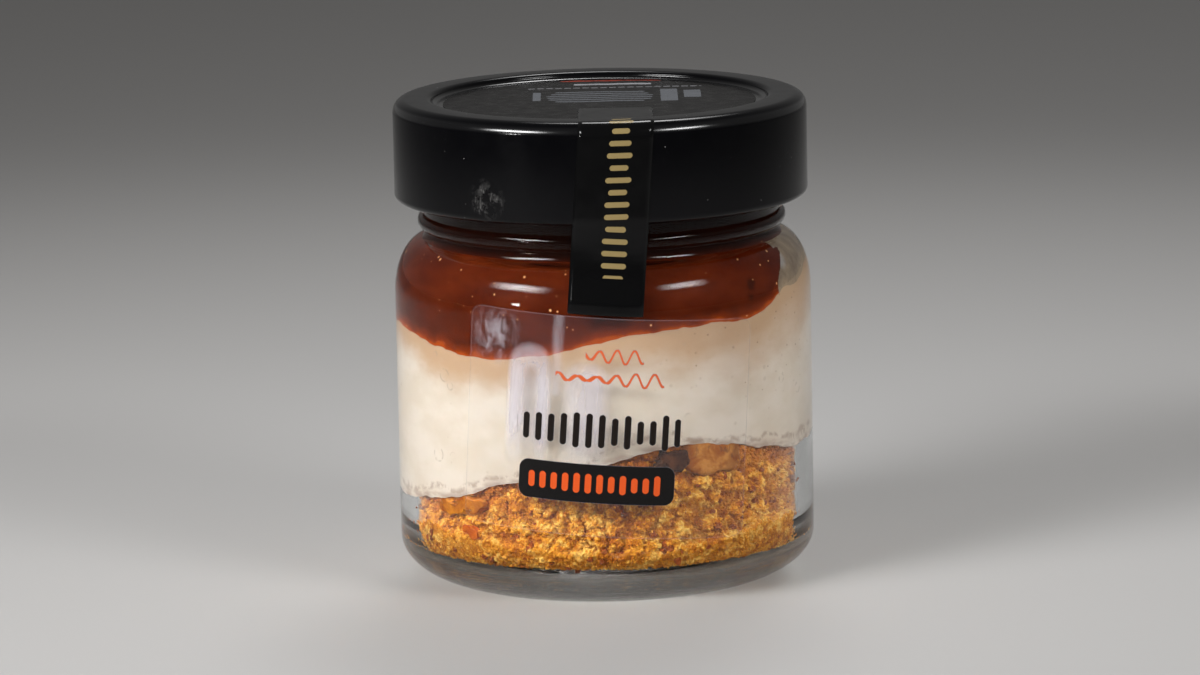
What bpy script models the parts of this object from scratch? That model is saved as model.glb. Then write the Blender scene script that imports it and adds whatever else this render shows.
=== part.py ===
"""A banoffee dessert in its clear glass jar, with a deep black twist lid, a seal strip and a film label.

Real size in metres, +Z up. The jar stands on z = 0 with its axis on Z and its label facing -Y. From the floor
up it holds biscuit crumb, cream and toffee. Angles round the jar are in degrees from the front, + towards +X.
"""
import math
import random

import bmesh
import bpy
from mathutils import Matrix, Vector

# Fit between pieces that touch
GAP = 0.0003

# Glass jar, outside
BODY_RADIUS = 0.0366
HEEL_RUN, HEEL_RISE = 0.0122, 0.0077
PUNT_RADIUS, PUNT_RISE, PUNT_SHOULDER = 0.0196, 0.0012, (0.86, 0.8)
SHOULDER_Z, SHOULDER_RISE = 0.0510, 0.0096
GROOVE_RADIUS, GROOVE_RISE = 0.03125, 0.0004
BEAD_RADIUS, BEAD_Z, BEAD_HALF_HEIGHT = 0.0323, 0.0636, 0.0014
FINISH_RADIUS = 0.0315
THREAD_RADIUS, THREAD_Z, THREAD_HALF_HEIGHT = 0.0332, 0.0748, 0.0017
RIM_Z, RIM_ROUND, RIM_BEVEL = 0.0821, 0.0011, 0.0007

# Glass jar, inside
FLOOR_Z = 0.00675
BORE_RADIUS = 0.0336
CORNER_RUN, CORNER_RISE = 0.0062, 0.0052
INNER_SHOULDER_Z, INNER_SHOULDER_RISE = 0.0505, 0.0080
MOUTH_RADIUS = 0.0289

# Twist lid, pressed from thin sheet with a rolled lower edge
LID_RADIUS = 0.03625
LID_TOP_Z, LID_BOTTOM_Z = 0.08505, 0.0674
LID_SHEET = 0.0005
LID_SHOULDER = 0.0023
LID_RECESS_RADIUS, LID_RECESS_DEPTH = 0.0294, 0.0013
LID_STEP_RUN = 0.0011
LID_CURL = 0.0011

# Paper and film
STICKER_RADIUS, STICKER_THICKNESS = 0.0274, 0.0002
FILM_TILT = 4.3
STRIP_WIDTH, STRIP_THICKNESS = 0.0129, 0.0002
STRIP_TOP_Y, STRIP_END_Z = 0.0106, 0.05205
STRIP_CENTRE_X, STRIP_SLACK = 0.0003, 0.0005
STRIP_LANDING = 0.0030
STRIP_COLUMNS, LABEL_COLUMNS = 6, 14
LABEL_WIDTH, LABEL_HEIGHT, LABEL_CORNER = 0.0520, 0.0380, 0.0022
LABEL_THICKNESS = 0.00015
LABEL_CENTRE_ANGLE, LABEL_CENTRE_Z = 0.75, 0.0326

# Filling: each edge on the glass is a mean height, waves of (order, swing, angle of a crest) and local swells
# of (angle, width, rise), where a rise below 0 is a dip.
CREAM_TOP_MEAN, CREAM_TOP_CENTRE = 0.0488, 0.0480
CREAM_TOP_WAVES = ((1, 0.0047, 106.3), (2, 0.0019, -89.5), (3, 0.0012, -11.9), (4, 0.0014, 16.2))
CREAM_TOP_SWELLS = ((61.0, 6.5, 0.0019), (102.0, 15.0, -0.0032))
CRUMB_TOP_MEAN, CRUMB_TOP_CENTRE = 0.0217, 0.0235
CRUMB_TOP_WAVES = ((1, 0.0049, 58.5), (2, 0.0015, 16.3), (3, 0.0009, 9.1), (5, 0.0008, 23.9))
CRUMB_TOP_SWELLS = ((-51.0, 11.0, -0.0008), (-27.0, 9.0, 0.0007))
TOFFEE_TOP_Z, TOFFEE_CROWN = 0.0792, 0.0003
CRUMB_RELIEF = 0.0006

# Air pocket under the shoulder on the right, where the toffee stands off the glass. Its start moves round to
# the right with height.
POCKET_START, POCKET_END, POCKET_FADE = 59.5, 122.0, 5.0
POCKET_START_SHIFT, POCKET_SHIFT_FROM_Z = 9.0, 0.0530
POCKET_TOP_RADIUS, POCKET_LEAN = 0.0302, 0.10
POCKET_SIDE_GAP, POCKET_CLEARANCE = 0.0006, 0.0007

# Pieces pressed against the glass: angle, height and half sizes along the wall, up and inwards
BANANA_ANGLE, BANANA_Z, BANANA_RADIUS, BANANA_THICKNESS = 32.0, 0.0262, 0.0075, 0.0068
BANANA_ROUND, BANANA_ROLL = 0.0022, 8.0
DATE_ANGLE, DATE_Z, DATE_HALF = 19.8, 0.0259, (0.0031, 0.0018, 0.0017)
CARAMEL_ANGLE, CARAMEL_Z, CARAMEL_HALF = -46.0, 0.0170, (0.0054, 0.0018, 0.0022)
CARAMEL_ROLL = -8.0

# How finely the solids are cut: steps round a turned piece, columns round a filling, and the shares of its
# radius at which a filling's top or underside bends
TURN_STEPS = 48
COLUMNS = 48
LAYER_SHARES = (0.3, 0.55, 0.75, 0.9, 1.0)
TOFFEE_CROWN_SHARES = (0.93, 0.5)
CRUMB_FLOOR_SHARES = (0.5, 0.99)

# Shares of a filling's height at which its side bends, and of the strip's run over the sticker
CREAM_SIDE_STEPS = (0.33, 0.66, 0.85)
TOFFEE_SIDE_STEPS = (0.3, 0.6, 0.85, 1.0)
CRUMB_CORNER_STEPS, CRUMB_SIDE_STEPS = (0.10, 0.42, 0.80), (0.15, 0.4, 0.65, 0.88)
STRIP_TOP_STEPS, STRIP_BRIDGE_STEPS = (0.0, 0.61, 0.95), 5
SEED = 7


def clear_scene():
    for item in list(bpy.data.objects):
        bpy.data.objects.remove(item, do_unlink=True)


def new_collection(name):
    made = bpy.data.collections.new(name)
    bpy.context.scene.collection.children.link(made)
    return made


def plain_material(name, colour, roughness, metallic=0.0, transmission=0.0):
    made = bpy.data.materials.new(name)
    made.use_nodes = True
    shader = made.node_tree.nodes["Principled BSDF"]
    shader.inputs["Base Color"].default_value = (*colour, 1.0)
    shader.inputs["Roughness"].default_value = roughness
    shader.inputs["Metallic"].default_value = metallic
    shader.inputs["Transmission Weight"].default_value = transmission
    made.diffuse_color = (*colour, 1.0)
    return made


def object_from(bm, name, collection, material=None, smooth_below=35.0):
    mesh = bpy.data.meshes.new(name)
    bm.to_mesh(mesh)
    bm.free()
    if material:
        mesh.materials.append(material)
    mesh.shade_smooth()
    mesh.set_sharp_from_angle(angle=math.radians(smooth_below))
    made = bpy.data.objects.new(name, mesh)
    collection.objects.link(made)
    return made


def arc(centre, run, rise, start, end, steps):
    """Points (r, z) on an ellipse's arc, from one angle to another in degrees."""
    angles = [math.radians(start + (end - start) * i / steps) for i in range(steps + 1)]
    return [(centre[0] + run * math.cos(a), centre[1] + rise * math.sin(a)) for a in angles]


def turned(name, profile, collection, material):
    """A profile of (r, z) turned about Z. Its outer side runs from top to bottom."""
    bm = bmesh.new()
    points = [bm.verts.new((r, 0.0, z)) for r, z in profile]
    for first, second in zip(points, points[1:]):
        bm.edges.new((first, second))
    made = object_from(bm, name, collection, material)
    screw = made.modifiers.new("Turn", "SCREW")
    screw.axis = "Z"
    screw.steps = screw.render_steps = TURN_STEPS
    screw.use_merge_vertices = True
    screw.merge_threshold = 0.00001
    screw.use_smooth_shade = True
    return made


def at_wall(radius, angle, z):
    """The point at a radius, an angle from the front and a height."""
    turn = math.radians(angle)
    return Vector((radius * math.sin(turn), -radius * math.cos(turn), z))


def bore_radius(z):
    """Radius of the glass's inner wall at a height: floor corner, straight bore, shoulder and mouth."""
    corner_z = FLOOR_Z + CORNER_RISE
    shoulder_top = INNER_SHOULDER_Z + INNER_SHOULDER_RISE
    if z < corner_z:
        below = min(1.0, (corner_z - z) / CORNER_RISE)
        return BORE_RADIUS - CORNER_RUN * (1.0 - math.sqrt(1.0 - below * below))
    if z <= INNER_SHOULDER_Z:
        return BORE_RADIUS
    if z < shoulder_top:
        above = (z - INNER_SHOULDER_Z) / INNER_SHOULDER_RISE
        return MOUTH_RADIUS + (BORE_RADIUS - MOUTH_RADIUS) * math.sqrt(1.0 - above * above)
    return MOUTH_RADIUS


def filling_radius(z):
    """Radius of the filling at a height, one gap clear of the glass."""
    if z < FLOOR_Z + CORNER_RISE:
        return bore_radius(z - GAP) - GAP
    return bore_radius(z + GAP) - GAP


def edge_height(angle, mean, waves, swells):
    """Height of an edge at an angle: its mean, its waves round the jar and its local swells."""
    height = mean
    for order, swing, crest in waves:
        height += swing * math.cos(math.radians(order * (angle - crest)))
    for middle, width, rise in swells:
        height += rise * math.exp(-(((angle - middle) / width) ** 2))
    return height


def cream_top_edge(angle):
    """Height of the cream's top where it meets the glass."""
    return edge_height(angle, CREAM_TOP_MEAN, CREAM_TOP_WAVES, CREAM_TOP_SWELLS)


def crumb_top_edge(angle):
    """Height of the crumb's top where it meets the glass."""
    return edge_height(angle, CRUMB_TOP_MEAN, CRUMB_TOP_WAVES, CRUMB_TOP_SWELLS)


def cream_top(angle, radius):
    edge = cream_top_edge(angle)
    share = radius / filling_radius(edge)
    return CREAM_TOP_CENTRE + (edge - CREAM_TOP_CENTRE) * share**3


def crumb_top(angle, radius):
    edge = crumb_top_edge(angle)
    share = radius / filling_radius(edge)
    return CRUMB_TOP_CENTRE + (edge - CRUMB_TOP_CENTRE) * share**2


def smooth_step(x):
    x = min(1.0, max(0.0, x))
    return x * x * (3.0 - 2.0 * x)


def pocket_share(angle, z):
    """1 where the toffee stands clear of the shoulder, 0 where it touches the glass."""
    shoulder_top = INNER_SHOULDER_Z + INNER_SHOULDER_RISE
    risen = smooth_step((z - POCKET_SHIFT_FROM_Z) / (shoulder_top - POCKET_SHIFT_FROM_Z))
    opening = smooth_step((angle - POCKET_START - POCKET_START_SHIFT * risen) / POCKET_FADE)
    closing = smooth_step((POCKET_END - angle) / POCKET_FADE)
    return min(opening, closing)


def toffee_radius(angle, z):
    """Radius of the toffee's side: on the glass, or pulled in to a steep side in the pocket."""
    on_glass = filling_radius(z)
    shoulder_top = INNER_SHOULDER_Z + INNER_SHOULDER_RISE
    if z >= shoulder_top:
        return on_glass
    leaning = POCKET_TOP_RADIUS - POCKET_LEAN * (shoulder_top - z)
    pulled_in = min(on_glass - POCKET_SIDE_GAP, leaning)
    return on_glass + (pulled_in - on_glass) * pocket_share(angle, z)


def column_angles():
    """One angle for each column of a filling solid, in order round the jar, from -180 up to 180."""
    return [-180.0 + 360.0 * column / COLUMNS for column in range(COLUMNS)]


def lofted(name, start, rings, end, collection, material):
    """A closed solid from a centre point out along its underside, up its side and in to a centre point.

    Quads are split from their inner ring's corner, so that two facing layers bend along the same lines."""
    bm = bmesh.new()
    rows = [[bm.verts.new(point) for point in ring] for ring in rings]
    first, last = bm.verts.new(start), bm.verts.new(end)
    for here in range(COLUMNS):
        following = (here + 1) % COLUMNS
        bm.faces.new((first, rows[0][following], rows[0][here]))
        bm.faces.new((last, rows[-1][here], rows[-1][following]))
    for low, high in zip(rows, rows[1:]):
        outwards = sum(v.co.xy.length for v in low) < sum(v.co.xy.length for v in high)
        for here in range(COLUMNS):
            following = (here + 1) % COLUMNS
            if outwards:
                bm.faces.new((low[here], low[following], high[following]))
                bm.faces.new((low[here], high[following], high[here]))
            else:
                bm.faces.new((low[here], low[following], high[here]))
                bm.faces.new((low[following], high[following], high[here]))
    return object_from(bm, name, collection, material, smooth_below=50.0)


def make_jar(collection, material):
    """Glass jar: thick floor with a shallow punt, straight body, shoulder, groove, bead and thread."""
    inside = [(0.0, FLOOR_Z)]
    inside += arc((BORE_RADIUS - CORNER_RUN, FLOOR_Z + CORNER_RISE), CORNER_RUN, CORNER_RISE, -90, 0, 4)
    inside += arc((MOUTH_RADIUS, INNER_SHOULDER_Z), BORE_RADIUS - MOUTH_RADIUS, INNER_SHOULDER_RISE, 0, 90, 4)
    lip = [(MOUTH_RADIUS, RIM_Z - RIM_ROUND), (MOUTH_RADIUS + RIM_BEVEL, RIM_Z)]
    lip += arc((FINISH_RADIUS - RIM_ROUND, RIM_Z - RIM_ROUND), RIM_ROUND, RIM_ROUND, 90, 0, 2)
    thread = arc((FINISH_RADIUS, THREAD_Z), THREAD_RADIUS - FINISH_RADIUS, THREAD_HALF_HEIGHT, 90, -90, 2)
    bead = arc((GROOVE_RADIUS, BEAD_Z), BEAD_RADIUS - GROOVE_RADIUS, BEAD_HALF_HEIGHT, 90, -90, 4)
    bead[0] = (FINISH_RADIUS, BEAD_Z + BEAD_HALF_HEIGHT)
    shoulder_run = BODY_RADIUS - GROOVE_RADIUS
    groove = [(GROOVE_RADIUS, SHOULDER_Z + SHOULDER_RISE + GROOVE_RISE)]
    shoulder = arc((GROOVE_RADIUS, SHOULDER_Z), shoulder_run, SHOULDER_RISE, 86, 0, 6)
    heel = arc((BODY_RADIUS - HEEL_RUN, HEEL_RISE), HEEL_RUN, HEEL_RISE, 0, -90, 5)
    punt_shoulder = (PUNT_RADIUS * PUNT_SHOULDER[0], PUNT_RISE * PUNT_SHOULDER[1])
    punt = [(PUNT_RADIUS, 0.0), punt_shoulder, (0.0, PUNT_RISE)]
    profile = inside + lip + thread + bead + groove + shoulder + heel + punt
    return turned("jar", profile, collection, material)


def make_lid(collection, material):
    """Twist lid: raised ring round a recessed panel, rounded shoulder, deep skirt and an inward curl."""
    recess_z = LID_TOP_Z - LID_RECESS_DEPTH
    step_rise = LID_RECESS_DEPTH / 2
    sheet_line = [(0.0, recess_z), (LID_RECESS_RADIUS - LID_STEP_RUN, recess_z)]
    step_centre = (LID_RECESS_RADIUS + LID_STEP_RUN, LID_TOP_Z - step_rise)
    step = arc(step_centre, LID_STEP_RUN, step_rise, 180, 90, 3)
    crown_centre = (LID_RADIUS - LID_SHOULDER, LID_TOP_Z - LID_SHOULDER)
    crown = arc(crown_centre, LID_SHOULDER, LID_SHOULDER, 90, 0, 4)
    curl_centre = (LID_RADIUS - LID_CURL, LID_BOTTOM_Z + LID_CURL)
    curl = arc(curl_centre, LID_CURL, LID_CURL, 0, -215, 5)
    made = turned("lid", sheet_line + step + crown + curl, collection, material)
    sheet = made.modifiers.new("Sheet", "SOLIDIFY")
    sheet.thickness = LID_SHEET
    sheet.offset = -1.0
    return made


def make_sticker(collection, material):
    """Round sticker lying in the lid's recess."""
    bm = bmesh.new()
    z = LID_TOP_Z - LID_RECESS_DEPTH + GAP + STICKER_THICKNESS / 2
    place = Matrix.Translation((0.0, 0.0, z))
    bmesh.ops.create_cone(bm, cap_ends=True, cap_tris=False, segments=TURN_STEPS, radius1=STICKER_RADIUS,
                          radius2=STICKER_RADIUS, depth=STICKER_THICKNESS, matrix=place)
    return object_from(bm, "lid_sticker", collection, material)


def sheet_grid(name, rows, thickness, collection, material):
    """A thin film from rows of points, thickened outwards. Rows run right to left, from the top down."""
    bm = bmesh.new()
    grid = [[bm.verts.new(point) for point in row] for row in rows]
    for upper, lower in zip(grid, grid[1:]):
        for i in range(len(upper) - 1):
            bm.faces.new((upper[i], upper[i + 1], lower[i + 1], lower[i]))
    made = object_from(bm, name, collection, material)
    film = made.modifiers.new("Film", "SOLIDIFY")
    film.thickness = thickness
    film.offset = 1.0
    return made


def strip_path():
    """Middle line of the strip as (distance from the axis, height), from the sticker down to the glass."""
    on_sticker = LID_TOP_Z - LID_RECESS_DEPTH + GAP + STICKER_THICKNESS + GAP
    sticker_span = STICKER_RADIUS - STRIP_TOP_Y
    path = [(STRIP_TOP_Y + sticker_span * share, on_sticker) for share in STRIP_TOP_STEPS]
    path.append((LID_RECESS_RADIUS - 3 * GAP, on_sticker))
    path.append((LID_RECESS_RADIUS + GAP, LID_TOP_Z + GAP / 2))
    path.append((LID_RECESS_RADIUS + LID_STEP_RUN, LID_TOP_Z + GAP))
    reach = LID_SHOULDER + GAP
    path += arc((LID_RADIUS - LID_SHOULDER, LID_TOP_Z - LID_SHOULDER), reach, reach, 90, 0, 5)
    on_lid, on_glass = LID_RADIUS + GAP, BODY_RADIUS + GAP
    skirt_end, landing = LID_BOTTOM_Z + LID_CURL, SHOULDER_Z + STRIP_LANDING
    path += [(on_lid, (LID_TOP_Z + LID_BOTTOM_Z) / 2), (on_lid, skirt_end)]
    for i in range(1, STRIP_BRIDGE_STEPS + 1):
        share = i / STRIP_BRIDGE_STEPS
        sag = STRIP_SLACK * math.sin(math.pi * share)
        path.append((on_lid + (on_glass - on_lid) * share - sag, skirt_end + (landing - skirt_end) * share))
    return path + [(on_glass, STRIP_END_Z)]


def make_strip(collection, material):
    """Seal strip from the lid's top over its edge and the neck to the glass, leaning with the label.

    On the lid's top it runs straight back, and its end there is cut square."""
    rows = []
    slant = math.tan(math.radians(FILM_TILT))
    for radius, z in strip_path():
        lean = (min(z, LID_TOP_Z) - STRIP_END_Z) * slant
        row = []
        for j in range(STRIP_COLUMNS + 1):
            offset = STRIP_WIDTH * (0.5 - j / STRIP_COLUMNS)
            x = STRIP_CENTRE_X + lean + offset
            depth = radius if radius < STICKER_RADIUS else math.sqrt(radius * radius - x * x)
            drop = offset * slant if z < LID_BOTTOM_Z else 0.0
            row.append((x, -depth, z - drop))
        rows.append(row)
    return sheet_grid("seal_strip", rows, STRIP_THICKNESS, collection, material)


def make_label(collection, material):
    """Clear film label with round corners, wrapped on the front of the glass and turned by its tilt."""
    half_w, half_h = LABEL_WIDTH / 2, LABEL_HEIGHT / 2
    corner = [LABEL_CORNER * (1 - math.cos(math.radians(a))) for a in (0, 45, 90)]
    heights = [half_h - c for c in corner] + [half_h / 3]
    heights += [-h for h in reversed(heights)]
    turn = math.radians(FILM_TILT)
    rows = []
    for v in heights:
        into_corner = max(0.0, abs(v) - (half_h - LABEL_CORNER))
        width = half_w - LABEL_CORNER + math.sqrt(max(0.0, LABEL_CORNER**2 - into_corner**2))
        row = []
        for j in range(LABEL_COLUMNS + 1):
            u = width * (1 - 2 * j / LABEL_COLUMNS)
            along = u * math.cos(turn) + v * math.sin(turn)
            up = v * math.cos(turn) - u * math.sin(turn)
            angle = LABEL_CENTRE_ANGLE + math.degrees(along / BODY_RADIUS)
            row.append(at_wall(BODY_RADIUS + GAP, angle, LABEL_CENTRE_Z + up))
        rows.append(row)
    return sheet_grid("film_label", rows, LABEL_THICKNESS, collection, material)


def make_toffee(collection, material):
    """Toffee: sits on the cream, fills the shoulder and the neck, and stands off the glass in the pocket."""
    angles = column_angles()
    lifts = [GAP + POCKET_CLEARANCE * pocket_share(a, cream_top_edge(a)) for a in angles]
    edges = [cream_top_edge(a) + lift for a, lift in zip(angles, lifts)]
    rims = [toffee_radius(a, z) for a, z in zip(angles, edges)]
    rings = []
    for share in LAYER_SHARES:
        ring = []
        for angle, rim, lift in zip(angles, rims, lifts):
            radius = rim * share
            ring.append(at_wall(radius, angle, cream_top(angle, radius) + lift))
        rings.append(ring)
    shoulder_top = INNER_SHOULDER_Z + INNER_SHOULDER_RISE
    underside_rim = rings[-1]
    for step in TOFFEE_SIDE_STEPS:
        heights = [point.z + (shoulder_top - point.z) * step for point in underside_rim]
        rings.append([at_wall(toffee_radius(a, z), a, z) for a, z in zip(angles, heights)])
    crown_z = TOFFEE_TOP_Z + TOFFEE_CROWN
    for z in ((shoulder_top + TOFFEE_TOP_Z) / 2, TOFFEE_TOP_Z):
        rings.append([at_wall(filling_radius(z), a, z) for a in angles])
    for share in TOFFEE_CROWN_SHARES:
        rings.append([at_wall(filling_radius(TOFFEE_TOP_Z) * share, a, crown_z) for a in angles])
    start, end = (0, 0, CREAM_TOP_CENTRE + GAP), (0, 0, crown_z)
    return lofted("toffee_layer", start, rings, end, collection, material)


def make_cream(collection, material):
    """Cream between the crumb and the toffee, climbing the glass to the pocket on the right."""
    angles = column_angles()
    rings = []
    for share in LAYER_SHARES:
        ring = []
        for angle in angles:
            radius = filling_radius(crumb_top_edge(angle)) * share
            ring.append(at_wall(radius, angle, crumb_top(angle, radius) + GAP))
        rings.append(ring)
    for step in CREAM_SIDE_STEPS:
        ring = []
        for angle in angles:
            low, high = crumb_top_edge(angle) + GAP, cream_top_edge(angle)
            z = low + (high - low) * step
            ring.append(at_wall(filling_radius(z), angle, z))
        rings.append(ring)
    for share in reversed(LAYER_SHARES):
        ring = []
        for angle in angles:
            radius = filling_radius(cream_top_edge(angle)) * share
            ring.append(at_wall(radius, angle, cream_top(angle, radius)))
        rings.append(ring)
    start, end = (0, 0, CRUMB_TOP_CENTRE + GAP), (0, 0, CREAM_TOP_CENTRE)
    return lofted("cream_layer", start, rings, end, collection, material)


def make_crumb(collection, material):
    """Biscuit crumb on the glass floor, with lumps pressed into its side and its top."""
    angles = column_angles()
    draw = random.Random(SEED)
    floor_z = FLOOR_Z + GAP
    flat_radius = BORE_RADIUS - CORNER_RUN
    rings = [[at_wall(flat_radius * share, a, floor_z) for a in angles] for share in CRUMB_FLOOR_SHARES]
    for rise in CRUMB_CORNER_STEPS:
        z = floor_z + CORNER_RISE * rise
        rings.append([at_wall(filling_radius(z) - CRUMB_RELIEF * draw.random() * rise, a, z) for a in angles])
    start_z = floor_z + CORNER_RISE
    for step in CRUMB_SIDE_STEPS:
        ring = []
        for angle in angles:
            z = start_z + (crumb_top_edge(angle) - start_z) * step
            ring.append(at_wall(filling_radius(z) - CRUMB_RELIEF * draw.random(), angle, z))
        rings.append(ring)
    for share in reversed(LAYER_SHARES):
        ring = []
        for angle in angles:
            radius = filling_radius(crumb_top_edge(angle)) * share
            drop = CRUMB_RELIEF * draw.random() * (share < 1.0)
            ring.append(at_wall(radius, angle, crumb_top(angle, radius) - drop))
        rings.append(ring)
    return lofted("crumb_layer", (0, 0, floor_z), rings, (0, 0, CRUMB_TOP_CENTRE), collection, material)


def on_the_wall(angle, radius, z, roll):
    """Placement whose X runs along the wall, Y inwards and Z up, rolled about the inward axis."""
    facing = Matrix.Rotation(math.radians(angle), 4, "Z") @ Matrix.Rotation(math.radians(roll), 4, "Y")
    return Matrix.Translation(at_wall(radius, angle, z)) @ facing


def make_banana(name, grow, collection, material=None):
    """Banana slice lying in the crumb with its rim against the glass, or its cutter, grown by the gap."""
    bm = bmesh.new()
    bmesh.ops.create_cone(bm, cap_ends=True, segments=24, radius1=BANANA_RADIUS + grow,
                          radius2=BANANA_RADIUS + grow, depth=BANANA_THICKNESS + 2 * grow)
    centre = filling_radius(BANANA_Z) - BANANA_RADIUS
    bm.transform(on_the_wall(BANANA_ANGLE, centre, BANANA_Z, BANANA_ROLL))
    made = object_from(bm, name, collection, material)
    edge = made.modifiers.new("Rounded rim", "BEVEL")
    edge.width = BANANA_ROUND
    edge.segments = 2
    edge.limit_method = "ANGLE"
    return made


def make_lump(name, angle, z, half, roll, grow, collection, material=None):
    """A rounded lump pressed against the glass, or its cutter, grown by the gap."""
    bm = bmesh.new()
    bmesh.ops.create_uvsphere(bm, u_segments=12, v_segments=8, radius=1.0)
    along, up, inwards = (size + grow for size in half)
    centre = filling_radius(z) - half[2]
    place = on_the_wall(angle, centre, z, roll)
    bm.transform(place @ Matrix.Diagonal((along, inwards, up, 1.0)))
    return object_from(bm, name, collection, material, smooth_below=60.0)


def cut_with(piece, cutter):
    cut = piece.modifiers.new("Room for " + cutter.name, "BOOLEAN")
    cut.operation = "DIFFERENCE"
    cut.solver = "EXACT"
    cut.object = cutter


def hide_cutter(cutter):
    cutter.hide_render = True
    cutter.display_type = "WIRE"


def main():
    clear_scene()
    parts = new_collection("banoffee_jar")
    cutters = new_collection("cutters")
    make_jar(parts, plain_material("glass", (0.93, 0.95, 0.94), 0.02, transmission=1.0))
    make_lid(parts, plain_material("lid_lacquer", (0.012, 0.012, 0.013), 0.35, metallic=0.2))
    make_sticker(parts, plain_material("lid_sticker", (0.016, 0.015, 0.015), 0.4))
    make_strip(parts, plain_material("seal_film", (0.010, 0.010, 0.011), 0.15))
    make_label(parts, plain_material("clear_film", (0.9, 0.9, 0.9), 0.08, transmission=1.0))
    make_toffee(parts, plain_material("toffee", (0.11, 0.02, 0.006), 0.3))
    cream = make_cream(parts, plain_material("cream", (0.78, 0.66, 0.5), 0.5))
    crumb = make_crumb(parts, plain_material("crumb", (0.55, 0.27, 0.06), 0.9))
    banana = make_banana("banana_slice", 0.0, parts, plain_material("banana", (0.36, 0.2, 0.09), 0.4))
    make_lump("date_piece", DATE_ANGLE, DATE_Z, DATE_HALF, 0.0, 0.0, parts,
              plain_material("dark_fruit", (0.07, 0.03, 0.02), 0.45))
    make_lump("caramel_pool", CARAMEL_ANGLE, CARAMEL_Z, CARAMEL_HALF, CARAMEL_ROLL, 0.0, parts,
              plain_material("caramel", (0.4, 0.12, 0.01), 0.2))
    banana_room = make_banana("banana_room", GAP, cutters)
    date_room = make_lump("date_room", DATE_ANGLE, DATE_Z, DATE_HALF, 0.0, GAP, cutters)
    caramel_room = make_lump("caramel_room", CARAMEL_ANGLE, CARAMEL_Z, CARAMEL_HALF, CARAMEL_ROLL, GAP,
                             cutters)
    for room in (banana_room, date_room, caramel_room):
        hide_cutter(room)
        for layer in (cream, crumb):
            cut_with(layer, room)
    cut_with(banana, date_room)


main()
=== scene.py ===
"""The looks of a banoffee dessert in its clear glass jar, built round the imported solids.

Metres, +Z up, the jar's axis on Z and its label facing -Y. Angles round the jar are in degrees from the
front, + towards +X. Patterns on the films are laid out in millimetres on each film.
"""
import math

import bmesh
import bpy
import numpy as np
from mathutils import Matrix, Vector, noise


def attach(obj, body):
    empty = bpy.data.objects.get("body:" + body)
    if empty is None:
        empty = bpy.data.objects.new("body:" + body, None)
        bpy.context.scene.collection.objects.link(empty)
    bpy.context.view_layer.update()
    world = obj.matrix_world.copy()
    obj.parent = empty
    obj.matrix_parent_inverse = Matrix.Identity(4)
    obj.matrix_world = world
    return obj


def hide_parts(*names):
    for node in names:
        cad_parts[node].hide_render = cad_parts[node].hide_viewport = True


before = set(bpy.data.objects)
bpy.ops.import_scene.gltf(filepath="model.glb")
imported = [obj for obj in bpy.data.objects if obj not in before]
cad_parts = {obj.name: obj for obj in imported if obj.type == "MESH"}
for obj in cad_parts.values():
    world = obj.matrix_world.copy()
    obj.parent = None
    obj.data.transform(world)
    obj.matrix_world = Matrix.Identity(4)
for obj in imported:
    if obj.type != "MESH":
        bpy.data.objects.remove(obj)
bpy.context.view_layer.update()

BODY = "root"
MM = 0.001

# Glass jar, outside
BODY_RADIUS = 0.0366
HEEL_RUN, HEEL_RISE = 0.0122, 0.0077
PUNT_RADIUS, PUNT_RISE = 0.0196, 0.0012
SHOULDER_Z, SHOULDER_RISE = 0.0510, 0.0096
GROOVE_RADIUS = 0.03125
BEAD_RADIUS, BEAD_Z, BEAD_HALF_HEIGHT = 0.0323, 0.0636, 0.0014
FINISH_RADIUS = 0.0315
THREAD_RADIUS, THREAD_Z, THREAD_HALF_HEIGHT = 0.0332, 0.0748, 0.0017
RIM_Z, RIM_ROUND = 0.0821, 0.0011

# Glass jar, inside
FLOOR_Z = 0.00675
BORE_RADIUS = 0.0336
CORNER_RUN, CORNER_RISE = 0.0062, 0.0052
INNER_SHOULDER_Z, INNER_SHOULDER_RISE = 0.0505, 0.0080
INNER_SHOULDER_TOP_Z = INNER_SHOULDER_Z + INNER_SHOULDER_RISE
MOUTH_RADIUS = 0.0289

# Twist lid
LID_RADIUS = 0.03625
LID_TOP_Z, LID_BOTTOM_Z = 0.08505, 0.0674
LID_SHEET = 0.0005
LID_SHOULDER = 0.0023
LID_RECESS_RADIUS, LID_RECESS_DEPTH = 0.0294, 0.0013
LID_STEP_RUN = 0.0011
LID_CURL = 0.0011

# Films: their outlines and places, how far they stand off what they stick to, and their thickness
STICKER_RADIUS = 0.0274
FILM_TILT = 4.3
FILM_OFF, FILM_SHEET = 0.00004, 0.00008
FILM_LAYOUT = "film_mm"
STRIP_WIDTH = 0.0129
STRIP_TOP_Y, STRIP_END_Z = 0.0106, 0.05205
STRIP_CENTRE_X, STRIP_SLACK, STRIP_LANDING = 0.0003, 0.0005, 0.0030
LABEL_WIDTH, LABEL_HEIGHT, LABEL_CORNER = 0.0520, 0.0380, 0.0022
LABEL_CENTRE_ANGLE, LABEL_CENTRE_Z = 0.75, 0.0326

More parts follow.
